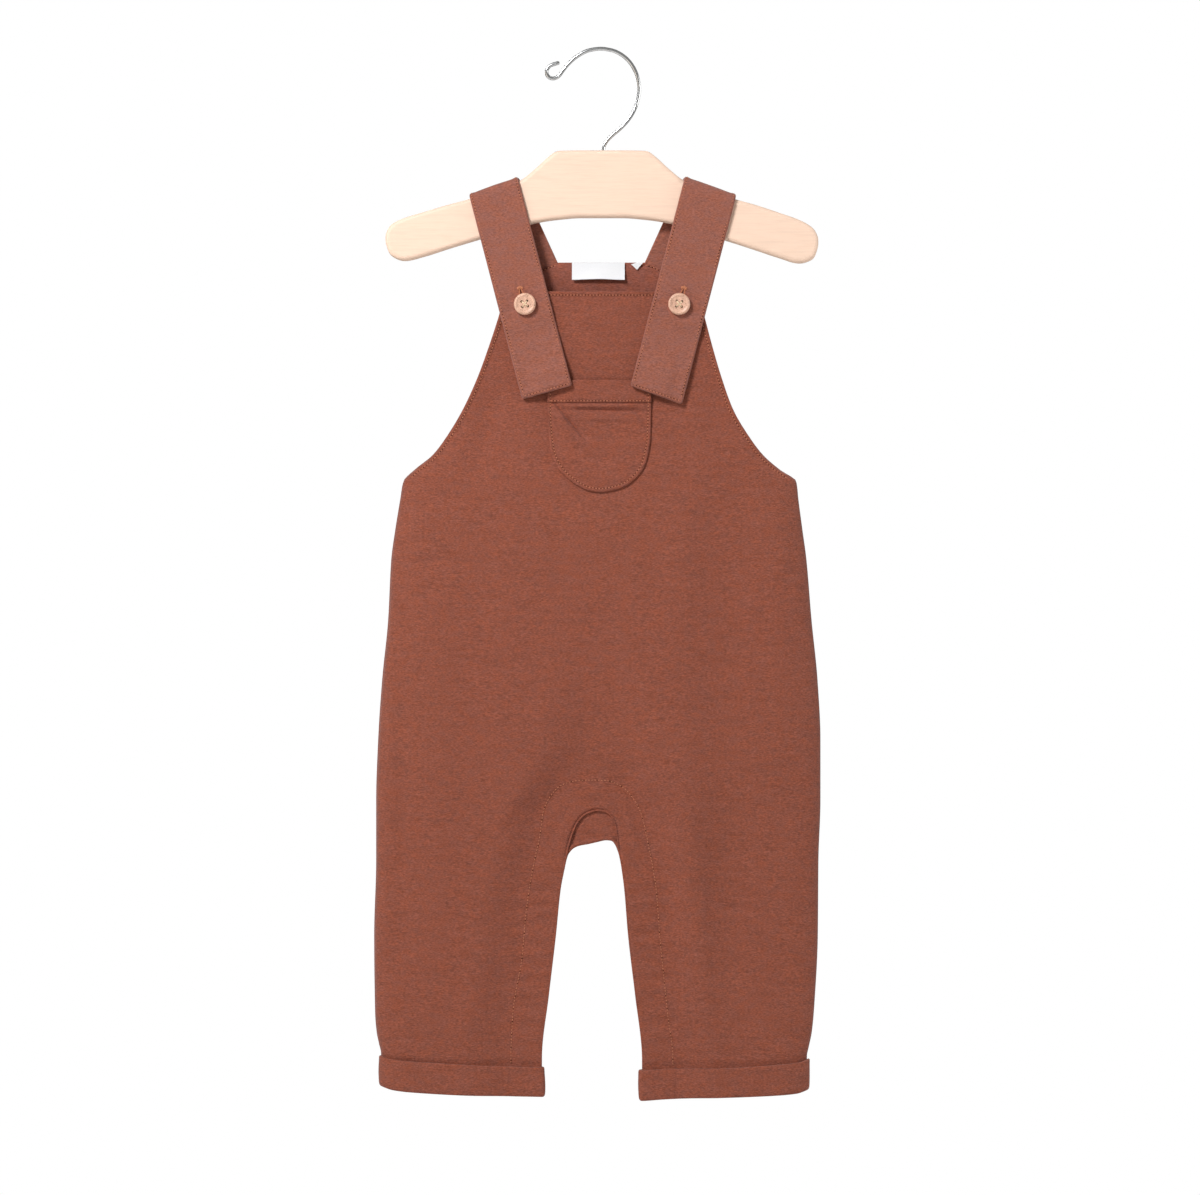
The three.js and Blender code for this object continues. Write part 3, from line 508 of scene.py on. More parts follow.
def band_sheet(name, panel):
    """The strip between the band's seam and its free edge, along both legs and over the crotch."""
    rows, columns = 330, 34
    sx, sz = (line[:, None] for line in route(panel.seam, rows))
    ex, ez = (line[:, None] for line in route(panel.edge, rows))
    share = (1 - np.cos(np.linspace(0, math.pi, columns))) / 2
    x = sx + (ex - sx) * share
    z = np.maximum(sz + (ez - sz) * share, LEG_END)
    keep = z.max(axis=1) > LEG_END
    points = panel.place(x[keep], z[keep])
    faces = grid_faces(*points.shape[:2], turned=panel.sign < 0)
    return thicken(new_object(name, points, faces), CLOTH_WALL)


# Turned-up hems
HEM_SECTION = table("out z", [
    (0.3, 19.3), (0.7, 19.75), (1.3, 19.85), (1.8, 19.5), (2.05, 18.6), (2.1, 16), (2.25, 12),
    (2.3, 8), (2.2, 4), (2.05, 2), (1.75, 0.9), (1.2, 0.25), (0.4, 0), (-0.5, 0.05),
    (-1.2, 0.4), (-1.5, 1.1), (-1.3, 1.5), (-0.6, 1.55), (0.25, 1.6), (0.3, 2.4), (0.3, 9),
])


def to_the_right(x, y):
    """The unit direction to the right of a closed loop's run, at each of its points."""
    dx, dy = np.roll(x, -1) - np.roll(x, 1), np.roll(y, -1) - np.roll(y, 1)
    length = np.hypot(dx, dy)
    return dy / length, -dx / length


def leg_loop(half, count):
    """The leg's outline at its end and the distance run along it, at each of its points."""
    sign = 1 if half == "left" else -1
    outer = float(FRONT.outer_x(half, LEG_END))
    turns = np.linspace(0, math.pi / 2, 24)
    flat = np.linspace(outer + sign * ROLL_RADIUS, INNER_LEG_X[half], 60)[1:]
    x = np.concatenate([outer + sign * ROLL_RADIUS * (1 - np.cos(turns)), flat])
    loop_x = np.concatenate([x, x[::-1][:-1]])
    loop_y = np.concatenate([-FRONT.depth(x, LEG_END), BACK.depth(x, LEG_END)[::-1][:-1]])
    run = run_along(loop_x, loop_y)
    at = np.linspace(0, run[-1], count, endpoint=False)
    return np.interp(at, run, loop_x), np.interp(at, run, loop_y), at


def hem_ring(name, half):
    """A turned-up hem: its section carried round the leg's end, with shallow uneven waves."""
    px, py, at = (line[:, None] for line in leg_loop(half, 260))
    sign, phase = (1, 0.0) if half == "left" else (-1, 1.7)
    nx, ny = to_the_right(px[:, 0], py[:, 0])
    nx, ny = sign * nx[:, None], sign * ny[:, None]
    out, up = route(HEM_SECTION, 44)
    share = np.clip(up / HEM_HEIGHT, 0, 1)
    wave = 0.22 * np.sin(at / 9.5 + phase) + 0.16 * np.sin(at / 4.1 + 2 * phase + up / 6)
    groove = bell(px - HEM_SEAM_X[half], 0.8)
    reach = out + np.where(out > 0.5, wave * (0.35 + share) - 0.5 * groove, 0.0)
    lift = 0.5 * np.sin(at / 21 + phase) * share
    z = HEM_BOTTOM + up + lift + through(HEM_LINE["x"], HEM_LINE["rise"], px)
    rings = np.stack([px + nx * reach, py + ny * reach, z], axis=-1)
    count, size = reach.shape
    return closed_object(name, rings, ring_faces(count + 1, size) % (count * size))


# Straps
def stand_off(fallen, side):
    share = (fallen - STAND_OFF_FROM) / (FRONT_DROP[side] - STAND_OFF_FROM)
    return STRAP_STAND_OFF * smoothstep(share)


def settle(fallen, across):
    """How far a strap sinks towards the bib below its button, but not where its end lies on the pocket."""
    on_pocket = smoothstep((fallen - POCKET_FROM) / 12.0) * smoothstep((across + 12.0) / 9.0)
    return SETTLE_DEPTH * smoothstep((fallen - SETTLE_FROM) / 14.0) * (1 - on_pocket)


def strap_place(side, across, along, out):
    """Points of a strap: across and along it, along is negative on the front."""
    skew, slope = math.radians(SHOULDER_SLOPE - STRAP_LEAN), math.radians(SHOULDER_SLOPE)
    aside = along * math.sin(skew) + across * math.cos(skew)
    travel = along * math.cos(skew) - across * math.sin(skew)
    beyond = np.abs(travel) - FOLD_HALF_FLAT
    turn = np.clip(beyond / FOLD_CORNER, 0, math.pi / 2)
    past = np.maximum(beyond - FOLD_CORNER * math.pi / 2, 0)
    radius = FOLD_CORNER + out
    level = beyond <= 0
    up = np.where(level, out, radius * np.cos(turn) - FOLD_CORNER) - past
    y = np.where(level, travel, np.sign(travel) * (FOLD_HALF_FLAT + radius * np.sin(turn)))
    y = y - np.where(travel < 0, stand_off(-up, side) - settle(-up, across), 0)
    x = -STRAP_TOP_X + aside * math.cos(slope) - up * math.sin(slope)
    z = STRAP_TOP_Z + aside * math.sin(slope) + up * math.cos(slope)
    return np.stack([-side * x, y, z], axis=-1)


def strap_section(half_width, half_wall):
    """Across and out of a strap's section: two faces and two round edges."""
    flat = half_width - half_wall
    face = np.linspace(flat, -flat, 25)
    turn = np.linspace(0, math.pi, 9)[1:-1]
    edge_across, edge_out = flat + half_wall * np.sin(turn), half_wall * np.cos(turn)
    across = np.concatenate([face, -edge_across, face[::-1], edge_across])
    out = np.concatenate([np.full(25, half_wall), edge_out, np.full(25, -half_wall), -edge_out])
    return across, out


def slanted(side, across, along):
    """A place along the strap, moved by its front end's slant."""
    share = smoothstep(1 - (along - FRONT_END[side]) / SLANT_RUN)
    return along + STRAP_SLANT[side] * across * share


def strap_mesh(name, side):
    front_end, back_end = FRONT_END[side], BACK_END
    half = STRAP_WIDTH[side] / 2
    ends = np.array([0, 0.12, 0.4, 0.8, 1.25, 1.8, 2.4, 3.0])
    inner = np.linspace(front_end + 3.0, back_end - 3.0, 170)[1:-1]
    along = np.concatenate([front_end + ends, inner, back_end - ends[::-1]])[:, None]
    across, out = strap_section(half, STRAP_WALL / 2)
    from_front = along - front_end
    from_end = np.minimum(from_front, back_end - along)
    from_edge = half - np.abs(across)

    # A groove at the stitches, and the seam allowance puffed up between them and the edge
    at_end = np.where(from_edge > STRAP_STITCH_IN, np.abs(from_front - STRAP_STITCH_IN), 9)
    groove = STRAP_GROOVE * bell(np.minimum(np.abs(from_edge - STRAP_STITCH_IN), at_end), STRAP_GROOVE_HALF)
    at_side = SIDE_SWELL * smoothstep((SIDE_REACH - np.minimum(from_edge, 9)) / SIDE_FADE)
    at_front = END_SWELL * smoothstep((END_REACH - from_front) / END_FADE)
    face = np.sign(out) * (np.abs(out) > 0.9 * STRAP_WALL / 2)
    puff = face * np.maximum(at_side, at_front) * (out > 0)

    # Round ends and corners, and a little unevenness
    round_end = np.sqrt(np.clip(1 - (1 - np.minimum(from_end / STRAP_ROUND, 1)) ** 2, 0.02, 1))
    corner = STRAP_CORNER - np.minimum(from_end, STRAP_CORNER)
    narrow = 1 - (STRAP_CORNER - np.sqrt(STRAP_CORNER ** 2 - corner ** 2)) / half
    soft = 0.16 * np.sin(along / 7.3 + side) * np.sin(across / 5.1 + 1.3 * side)
    height = (out - face * groove + puff) * round_end + soft
    points = strap_place(side, across * narrow, slanted(side, across, along), height)
    obj = closed_object(name, points, bar_faces(*height.shape))
    cut_slot(obj, side)
    return obj


def cut_away(obj, cutter):
    cut = obj.modifiers.new("cut", "BOOLEAN")
    cut.operation = "DIFFERENCE"
    cut.solver = "EXACT"
    cut.object = cutter
    apply_modifiers(obj)
    bpy.data.objects.remove(cutter)


def cut_slot(obj, side):
    """The buttonhole's slit, through the strap."""
    half = SLOT_WIDTH / 2
    across, along = np.array([-half, half, half, -half]), -np.array([SLOT_TO, SLOT_TO, SLOT_FROM, SLOT_FROM])
    rings = [strap_place(side, across, along, out) for out in (-3, 3)]
    cut_away(obj, closed_object("slot_cutter", rings, bar_faces(2, 4)))


# Bib pocket: a patch between its mouth, its sides and its round bottom
POCKET_WALL, POCKET_LIFT = 1.1, 1.2
POCKET_EDGE_SWELL, POCKET_HEM_SWELL, POCKET_BILLOW = 0.4, 0.8, 0.5
POCKET_HEM = 13.9
POCKET_STITCH_IN, POCKET_GROOVE_IN = 2.2, 2.3
POCKET_MOUTH = (-33.6, 30.0)
SEAM_GAP = 0.3
POCKET_FOLDS = table("x0 z0 x1 z1 height half", [
    (-22, -234, 26, -234.6, -2, 2.6), (-30, -229, -11, -253, -2.1, 2.6), (-14, -239, 22, -240, 1.1, 3.4),
    (-18, -230.6, 24, -231, 0.5, 2), (-24, -230, -4, -249, 1.3, 3.4), (-34, -237, -18, -256, 0.5, 3.6),
    (6, -246, 24, -252, -0.8, 3.6), (20, -232, 30, -246, -1.1, 2.8), (-27, -240, -16, -258, 0.9, 3.4),
    (-8, -255, 10, -266, -0.4, 5),
])


def pocket_grid(columns, rows):
    """Grid points between the straight mouth, the two sides and the round bottom."""
    bottom = route({key: POCKET_EDGE[key][3:-3] for key in ("x", "z")}, columns)
    c = np.linspace(0, 1, columns)
    r = np.linspace(0, 1, rows)[:, None]
    grid = []
    for key, low in zip(("x", "z"), bottom):
        first, last = POCKET_EDGE[key][0], POCKET_EDGE[key][-1]
        top = first + c * (last - first)
        left, right = first + (low[0] - first) * r, last + (low[-1] - last) * r
        across = left * (1 - c) + right * c
        down = top * (1 - r) + low * r
        both = top * (1 - r) + (low[0] * (1 - c) + low[-1] * c) * r
        grid.append(across + down - both)
    return grid


def pocket_out(x, z):
    """Height of the pocket's outer face over the bib."""
    away = distance_to(x, z, *route(POCKET_EDGE, 90))
    from_top = POCKET_EDGE["z"][0] - z
    allowance = POCKET_EDGE_SWELL * smoothstep((3.4 - away) / 0.9)
    hem = POCKET_HEM_SWELL * smoothstep((POCKET_HEM + 1.0 - from_top) / 0.7)
    billow = POCKET_BILLOW * smoothstep(away / 14)
    groove = 0.5 * bell(away - POCKET_GROOVE_IN, 0.6)
    hem_groove = 0.35 * bell(from_top - POCKET_HEM + 0.3, 0.5) + 0.7 * bell(from_top - POCKET_HEM - 1.1, 0.45)
    drop = 0.55 * (1 - smoothstep(np.minimum(away, np.maximum(from_top, 0)) / 0.8))
    raised = SEAM_GAP + POCKET_LIFT + allowance + hem + billow
    return raised - groove - hem_groove - drop + fold_height(POCKET_FOLDS, x, z)


def pocket_sheet(name):
    x, z = pocket_grid(78, 165)
    points = FRONT.place(x, z, pocket_out(x, z))
    return thicken(new_object(name, points, grid_faces(*x.shape)), POCKET_WALL)


# Thread: every stitch is a short round bar laid on the cloth
BAR_SIDES = 6


def thread_bars(name, centres, along, normals, length, radius, arch=0.1):
    """Many short bars in one mesh, each along its own direction and lifted on its normal."""
    centres, along, normals = (np.asarray(rows, float).reshape(-1, 3) for rows in (centres, along, normals))
    along = along / np.linalg.norm(along, axis=1, keepdims=True)
    side = np.cross(along, normals)
    side /= np.linalg.norm(side, axis=1, keepdims=True)
    normals = np.cross(side, along)
    rings = np.array([-1.0, -0.8, -0.3, 0.3, 0.8, 1.0])
    widths = radius * np.array([0.45, 0.9, 1.0, 1.0, 0.9, 0.45])
    turns = np.linspace(0, 2 * math.pi, BAR_SIDES, endpoint=False)
    runs = np.repeat(rings * length / 2, BAR_SIDES)
    heights = (arch * (1 - 2 * rings ** 2) + widths * np.cos(turns)[:, None]).T.ravel()
    asides = (widths * np.sin(turns)[:, None]).T.ravel()
    points = sum(way[:, None, :] * shift[None, :, None]
                 for way, shift in ((along, runs), (normals, heights), (side, asides)))
    size = len(runs)
    starts = np.arange(len(centres))[:, None, None] * size
    faces = (ring_faces(len(rings), BAR_SIDES) + starts).reshape(-1, 4).tolist()
    ends = np.array([range(BAR_SIDES)[::-1], range(size - BAR_SIDES, size)])
    faces += (ends + starts).reshape(-1, BAR_SIDES).tolist()
    return closed_object(name, centres[:, None, :] + points, faces)


def evenly(points, spacing):
    """Places and directions every spacing along a line of points."""
    run = np.concatenate([[0], np.cumsum(np.linalg.norm(np.diff(points, axis=0), axis=1))])
    count = max(int(run[-1] / spacing), 1)
    at = (np.arange(count) + 0.5) * run[-1] / count
    place, ahead, behind = (np.stack([np.interp(at + step, run, axis) for axis in points.T], axis=1)
                            for step in (0.0, 0.4, -0.4))
    return place, ahead - behind


class Thread:
    """Collects stitches, and the short near-black bars between them that paint the shade in the needle holes,
    until they are made into meshes.
    """
    def __init__(self):
        self.stitches, self.hole_shade_bars = [], []

    def add(self, place, way, normal, dip_every=1):
        normal = np.broadcast_to(np.asarray(normal, float), place.shape)
        between = (place[1:] + place[:-1]) / 2 - DIP_DEPTH * normal[1:]
        self.stitches.append((place, way, normal))
        self.hole_shade_bars.append((between[::dip_every], way[1::dip_every], normal[1::dip_every]))

    def run(self, points, normal, dip_every=1):
        self.add(*evenly(points, STITCH_SPACING), normal, dip_every)

    def on_cloth(self, panel, x, z, proud=0.05, dip_every=1):
        """A row of stitches on a panel's outer face."""
        self.run(panel.place(x, z, proud), [0, panel.sign, 0], dip_every)

    def make(self, name):
        stitches = [np.concatenate(rows) for rows in zip(*self.stitches)]
        hole_shade_bars = [np.concatenate(rows) for rows in zip(*self.hole_shade_bars)]
        return (thread_bars(name, *stitches, STITCH_LENGTH, THREAD_RADIUS),
                thread_bars("hole_shade_bars", *hole_shade_bars, DIP_LENGTH, DIP_RADIUS, 0.0))


def inset_line(x, z, inset):
    """A line moved to its right-hand side, seen along its run."""
    dx, dz = np.gradient(x), np.gradient(z)
    length = np.maximum(np.hypot(dx, dz), 1e-9)
    return x + dz / length * inset, z - dx / length * inset


def tube(name, points, radius, sides=12):
    """A round closed tube along a line of points, with rounded ends."""
    points = np.asarray(points, float)
    ways = np.gradient(points, axis=0)
    ways /= np.linalg.norm(ways, axis=1, keepdims=True)
    side = np.cross(ways[0], [0.0, 1.0, 0.03])
    turns = np.linspace(0, 2 * math.pi, sides, endpoint=False)[:, None]
    cap = [(-1.0, 0.15), (-0.85, 0.55), (-0.5, 0.87), (0.0, 1.0)]
    circles = []
    for number, (point, way) in enumerate(zip(points, ways)):
        side = side - way * side.dot(way)
        side /= np.linalg.norm(side)
        ring = np.cos(turns) * side + np.sin(turns) * np.cross(way, side)
        steps = [(0.0, 1.0)]
        if number == 0:
            steps = cap
        if number == len(points) - 1:
            steps = [(-shift, width) for shift, width in cap[::-1]]
        circles += [point + radius * (way * shift + ring * width) for shift, width in steps]
    return closed_object(name, circles, bar_faces(len(circles), sides))


def join(name, objects):
    """Several meshes as one object."""
    with bpy.context.temp_override(active_object=objects[0], selected_objects=objects,
                                   selected_editable_objects=objects):
        bpy.ops.object.join()
    objects[0].name = name
    return objects[0]


# Buttons
BUTTON_PROFILE = table("r h", [
    (0, 0), (4.9, 0), (5.6, 0.1), (6.5, 0.55), (7.05, 1.25), (7.15, 1.8), (7.05, 2.35), (6.85, 2.8),
    (6.5, 3.2), (6.1, 3.4), (5.7, 3.38), (5.35, 3.22), (5.05, 3), (4.75, 2.86), (4.3, 2.78), (2.2, 2.7),
    (0, 2.68),
])
HOLE_RADIUS, HOLE_OFFSET = 0.82, 1.75
HOLE_REACH = HOLE_OFFSET * math.sqrt(2)
BUTTON_TURN = {-1: math.radians(8), 1: math.radians(-4)}
BUTTON_CLEAR = 0.6
SHANK_RADIUS, CROSS_RADIUS = 0.8, 0.2


def button_place(side):
    """The middle of the button's back face."""
    lean = math.radians(STRAP_LEAN)
    face = FOLD_HALF_FLAT + FOLD_CORNER + STRAP_WALL / 2 + float(stand_off(BUTTON_DROP, side)) + BUTTON_CLEAR
    x = side * (STRAP_TOP_X - BUTTON_DROP * math.sin(lean))
    return x, -face, STRAP_TOP_Z - BUTTON_DROP * math.cos(lean)


def hole_turn(side, quarter):
    return BUTTON_TURN[side] + math.pi / 4 + quarter * math.pi / 2


def turned_disc(name, radii, heights, place, sides=72):
    """A lathe body whose axis points forward from its place."""
    turns = np.linspace(0, 2 * math.pi, sides, endpoint=False)
    radii, heights = radii[:, None], heights[:, None]
    points = np.stack([place[0] + radii * np.cos(turns), place[1] - heights + 0 * turns,
                       place[2] + radii * np.sin(turns)], axis=-1)
    return closed_object(name, points, bar_faces(len(radii), sides))


def button(name, side):
    x, y, z = button_place(side)
    radii, heights = route(BUTTON_PROFILE, 44)
    radii[[0, -1]] = 0.05
    disc = turned_disc(name, radii, heights, (x, y, z))
    for quarter in range(4):
        turn = hole_turn(side, quarter)
        place = (x + HOLE_REACH * math.cos(turn), y + 1.0, z + HOLE_REACH * math.sin(turn))
        rod = turned_disc("hole_cutter", np.full(2, HOLE_RADIUS), np.array([0.0, 6.0]), place, 20)
        cut_away(disc, rod)
    disc.data.polygons.foreach_set("use_smooth", [True] * len(disc.data.polygons))
    return disc


def button_thread(name, side):
    """The shank through the buttonhole and the crossed threads in the four holes."""
    x, y, z = button_place(side)
    bib = -float(FRONT.depth(np.float64(x), np.float64(z)))
    shank = [(x, bib - 0.3, z), (x, (bib + y) / 2, z), (x, y + 0.1, z)]
    parts = [tube("shank", shank, SHANK_RADIUS)]
    for quarter in (0, 1):
        turn = hole_turn(side, quarter)
        way = np.array([math.cos(turn), 0, math.sin(turn)])
        aside = np.array([-math.sin(turn), 0, math.cos(turn)])
        height = 2.9 + 0.3 * quarter
        half = [(0.9, height), (HOLE_REACH - 0.15, height - 0.25), (HOLE_REACH + 0.05, 1.3)]
        line = [(-run, up) for run, up in half[::-1]] + half
        for shift in (-0.2, 0.2):
            points = [np.array([x, y - up, z]) + way * run + aside * shift for run, up in line]
            parts.append(tube("cross", points, CROSS_RADIUS, 8))
    return join(name, parts)


def buttonhole(name, side):
    """Close satin stitches down both sides of the slit, wider apart lower down, and a bar tack over it."""
    face = STRAP_WALL / 2
    centres, ways = [], []
    for run in np.arange(SATIN_FROM, SATIN_TO, SATIN_STEP):
        for edge in (-1, 1):
            middle = edge * min(0.504 + 0.24 * (run - SATIN_FROM), 1.9)
            centres.append(strap_place(side, middle, -run, face + 0.1))
            ways.append(strap_place(side, middle + edge * 0.5, -run, face + 0.1) - centres[-1])
    satin = thread_bars("satin", centres, ways, [0, -1, 0], 0.95, 0.27, 0.12)
    across = np.arange(-4, 5) * 0.4
    along = -TACK_FROM - 0.5 * np.abs(across)
    centres, ends = (strap_place(side, across, along - step, face + 0.15 + 0 * along) for step in (0, 1))
    tack = thread_bars("bar_tack", centres, ends - centres, [0, -1, 0], 2.0, 0.3, 0.15)
    return join(name, [satin, tack])


# Labels: a blank ribbon on the back's inside and a small folded tab beside it
LABEL_WIDTH, LABEL_HEIGHT, LABEL_WALL = 34.3, 11.0, 0.55
LABEL_X, LABEL_TOP, LABEL_Y = -2.4, -137.6, 3.5
TAB_WALL = 0.45
TAB_CORNERS = [(18.9, 3.3, -138.7), (22.8, 3.2, -142.2), (26.7, 3.3, -137.6), (22.8, 3.35, -137.55)]


def label(name):
    columns, rows = 40, 14
    c = np.linspace(-0.5, 0.5, columns)
    r = np.linspace(0, 1, rows)[:, None]
    x = LABEL_X + c * LABEL_WIDTH + 0 * r
    z = LABEL_TOP - r * LABEL_HEIGHT + 0.25 * np.cos(2 * math.pi * c) * r
    bow = 2.2 * r ** 2 + 0.3 * np.sin(math.pi * (c + 0.5)) * r + 0.15 * np.sin(9 * c + 2 * r) * r
    points = np.stack([x, LABEL_Y - LABEL_WALL / 2 - bow, z], axis=-1)
    return thicken(new_object(name, points, grid_faces(rows, columns)), LABEL_WALL)


def size_tab(name):
    """The corner of a narrow folded ribbon."""
    return thicken(new_object(name, TAB_CORNERS, [(0, 1, 2, 3)]), TAB_WALL)


# Hanger
HANGER_LINE = table("x top bottom", [
    (-140.7, -119.5, -125), (-137.5, -113.6, -133), (-128.4, -109, -136.8), (-115, -104.9, -133.8),
    (-100, -100.4, -129), (-86.5, -96.8, -124.9), (-70, -90.9, -120), (-53.8, -85.1, -115.2),
    (-44, -77.6, -112.4), (-34, -68.6, -110.6), (-29, -65.4, -110), (-14, -65.1, -108.8),
    (14, -65.1, -108.8), (29, -65.4, -110), (34, -68.6, -110.6), (44, -77.6, -112.4),
    (53.8, -85.1, -115.2), (70, -90.9, -120.4), (86.5, -96.8, -125.4), (100, -100.6, -129.8),
    (115, -105.6, -134.8), (128.4, -110.4, -138.4), (137.5, -116, -135.4), (140.5, -121.5, -127.5),
])
HANGER_WALL, HANGER_ROUND = 11.0, 2.9
HOOK_LINE = table("x z", [
    (0.8, -68), (0.85, -65), (0.9, -63.2), (2.4, -59.6), (6, -55.6), (11.1, -51.3), (16, -46.3),
    (19.8, -40.8), (22.6, -34), (24.1, -25.2), (22.9, -17), (19.6, -9.6), (13.6, -3.3), (6.4, 0.2),
    (-1, 1.25), (-8.4, 0.2), (-15.6, -3.3), (-21.9, -8.6), (-25.8, -13.4), (-28.7, -17.1), (-32.2, -18.3),
    (-35.4, -16.6), (-36.3, -13.6), (-34.8, -10.6), (-31.9, -9), (-28.7, -8.1),
])
WIRE_RADIUS = 1.25


def hanger_outline(count):
    """Evenly spaced points round the hanger's face, with its corners smoothed."""
    x, top, bottom = HANGER_LINE.values()
    fine = np.concatenate([np.linspace(x[0], x[2], 22)[:-1], np.linspace(x[2], x[-3], 190),
                           np.linspace(x[-3], x[-1], 22)[1:]])
    upper, lower = through(x, top, fine), through(x, bottom, fine)
    loop_x = np.concatenate([fine, fine[::-1], fine[:1]])
    loop_z = np.concatenate([upper, lower[::-1], upper[:1]])
    run = run_along(loop_x, loop_z)
    at = np.linspace(0, run[-1], count, endpoint=False)
    line = np.stack([np.interp(at, run, loop_x), np.interp(at, run, loop_z)])
    for _ in range(4):
        line = 0.25 * np.roll(line, 1, axis=1) + 0.5 * line + 0.25 * np.roll(line, -1, axis=1)
    return line


def hanger_body(name):
    """The hanger's face outline as rings from its front face round its edge to its back face."""
    px, pz = hanger_outline(620)
    nx, nz = to_the_right(px, pz)
    turns = np.linspace(0, math.pi / 2, 8)
    insets = HANGER_ROUND * (1 - np.sin(turns))
    depths = HANGER_WALL / 2 - HANGER_ROUND * (1 - np.cos(turns))
    insets = np.concatenate([insets, insets[::-1]])[:, None]
    depths = np.concatenate([depths, -depths[::-1]])[:, None]
    rings = np.stack([px + nx * insets, -depths + 0 * px, pz + nz * insets], axis=-1)
    obj = closed_object(name, rings, bar_faces(*rings.shape[:2]))
    for polygon in list(obj.data.polygons)[-2:]:
        polygon.use_smooth = False
    return obj


def wire(name):
    line = np.stack(route(HOOK_LINE, 240))
    for _ in range(6):
        line[:, 1:-1] = 0.25 * line[:, :-2] + 0.5 * line[:, 1:-1] + 0.25 * line[:, 2:]
    return tube(name, np.stack([line[0], 0 * line[0], line[1]], axis=-1), WIRE_RADIUS, 16)


# Looks
KNIT_STREAKS, KNIT_LOOPS = 900.0 / 0.85, 1500.0 / 0.85


class Looks:
    """A small helper that adds and links shader nodes."""
    def __init__(self, name):
        self.material = bpy.data.materials.new(name)
        self.material.use_nodes = True
        self.nodes = self.material.node_tree.nodes
        self.links = self.material.node_tree.links
        self.shader = self.nodes["Principled BSDF"]
        self.place = self.add("ShaderNodeTexCoord").outputs["Object"]

    def add(self, kind, **values):
        node = self.nodes.new(kind)
        for key, value in values.items():
            setattr(node, key, value)
        return node

    def stretched(self, scale):
        node = self.add("ShaderNodeMapping")
        node.inputs["Scale"].default_value = scale
        self.links.new(self.place, node.inputs["Vector"])
        return node.outputs["Vector"]

    def noise(self, scale, size=1000.0, detail=2.0, rough=0.5):
        node = self.add("ShaderNodeTexNoise")
        node.inputs["Scale"].default_value = size
        node.inputs["Detail"].default_value = detail
        node.inputs["Roughness"].default_value = rough
        self.links.new(self.stretched(scale), node.inputs["Vector"])
        return node.outputs[0]

    def ramp(self, value, stops):
        node = self.add("ShaderNodeValToRGB")
        ramp = node.color_ramp
        while len(ramp.elements) < len(stops):
            ramp.elements.new(0.5)
        for element, (place, colour) in zip(ramp.elements, stops):
            element.position = place
            element.color = (*colour, 1.0)
        self.links.new(value, node.inputs["Fac"])
        return node.outputs["Color"]

    def product(self, first, second):
        node = self.add("ShaderNodeMix", data_type="RGBA", blend_type="MULTIPLY")
        node.inputs[0].default_value = 1.0
        self.links.new(first, node.inputs[6])
        self.links.new(second, node.inputs[7])
        return node.outputs[2]

    def sum(self, first, second, weight):
        node = self.add("ShaderNodeMath", operation="MULTIPLY_ADD")
        node.inputs[1].default_value = weight
        self.links.new(second, node.inputs[0])
        self.links.new(first, node.inputs[2])
        return node.outputs[0]

    def bump(self, height, distance, strength=1.0):
        node = self.add("ShaderNodeBump")
        node.inputs["Strength"].default_value = strength
        node.inputs["Distance"].default_value = distance * MM
        self.links.new(height, node.inputs["Height"])
        self.links.new(node.outputs["Normal"], self.shader.inputs["Normal"])

    def set(self, **values):
        for key, value in values.items():
            socket = self.shader.inputs[key.replace("_", " ")]
            if isinstance(value, (tuple, float)):
                socket.default_value = (*value, 1.0) if isinstance(value, tuple) else value
            else:
                self.links.new(value, socket)


def shade(colour, factor):
    return tuple(min(channel * factor, 1.0) for channel in colour)


def grey(level):
    return (level, level, level)


def knit(name, colour, contrast=1.0, slub=1.0):
    """Heather knit: mottled yarn in short level streaks over fine loops."""
    look = Looks(name)
    streaks = look.noise((0.55, 0.55, 1.9), KNIT_STREAKS, 3.0, 0.62)
    cloud = look.noise((1.0, 1.0, 1.7), 170.0, 6.0, 0.7)
    loops = look.noise((1.0, 1.0, 1.6), KNIT_LOOPS, 2.0)
    thick_yarn = look.noise((0.16, 0.16, 0.9), 300.0 + 120.0 * slub, 5.0, 0.72)
    dark, light = shade(colour, 1 - 0.36 * contrast), shade(colour, 1 + 0.42 * contrast)
    yarn = look.ramp(streaks, [(0.30, dark), (0.5, colour), (0.72, light)])
    mottled = look.ramp(cloud, [(0.38, (0.95, 1.03, 1.15)), (0.62, (1.04, 0.98, 0.92))])
    thick, thin = grey(1 - 0.09 * slub), grey(1 + 0.05 * slub)
    slubs = look.ramp(thick_yarn, [(0.36, thick), (0.5, grey(1.0)), (0.66, thin)])
    look.set(Base_Color=look.product(look.product(yarn, mottled), slubs), Roughness=0.92,
             Sheen_Weight=0.2, Sheen_Roughness=0.45, Specular_IOR_Level=0.15)
    look.bump(look.sum(streaks, loops, 0.8), 0.35, 0.75)
    return look.material


def thread(name, colour):
    look = Looks(name)
    twist = look.noise((1.0, 1.0, 1.0), 2600.0, 1.0)
    twisted = look.ramp(twist, [(0.3, shade(colour, 0.8)), (0.7, shade(colour, 1.15))])
    look.set(Base_Color=twisted, Roughness=0.85, Specular_IOR_Level=0.1)
    return look.material


def speckled(name, colour):
    look = Looks(name)
    specks = look.noise((1.0, 1.0, 1.0), 1300.0, 3.0, 0.6)
    clouds = look.noise((1.0, 1.0, 1.0), 320.0, 2.0)
    base = look.ramp(clouds, [(0.35, shade(colour, 0.9)), (0.65, shade(colour, 1.08))])
    fine = look.ramp(specks, [(0.34, (0.62, 0.55, 0.5)), (0.48, grey(1.0)), (0.7, grey(1.08))])
    look.set(Base_Color=look.product(base, fine), Roughness=0.42, Specular_IOR_Level=0.45)
    look.bump(specks, 0.03, 0.4)
    return look.material


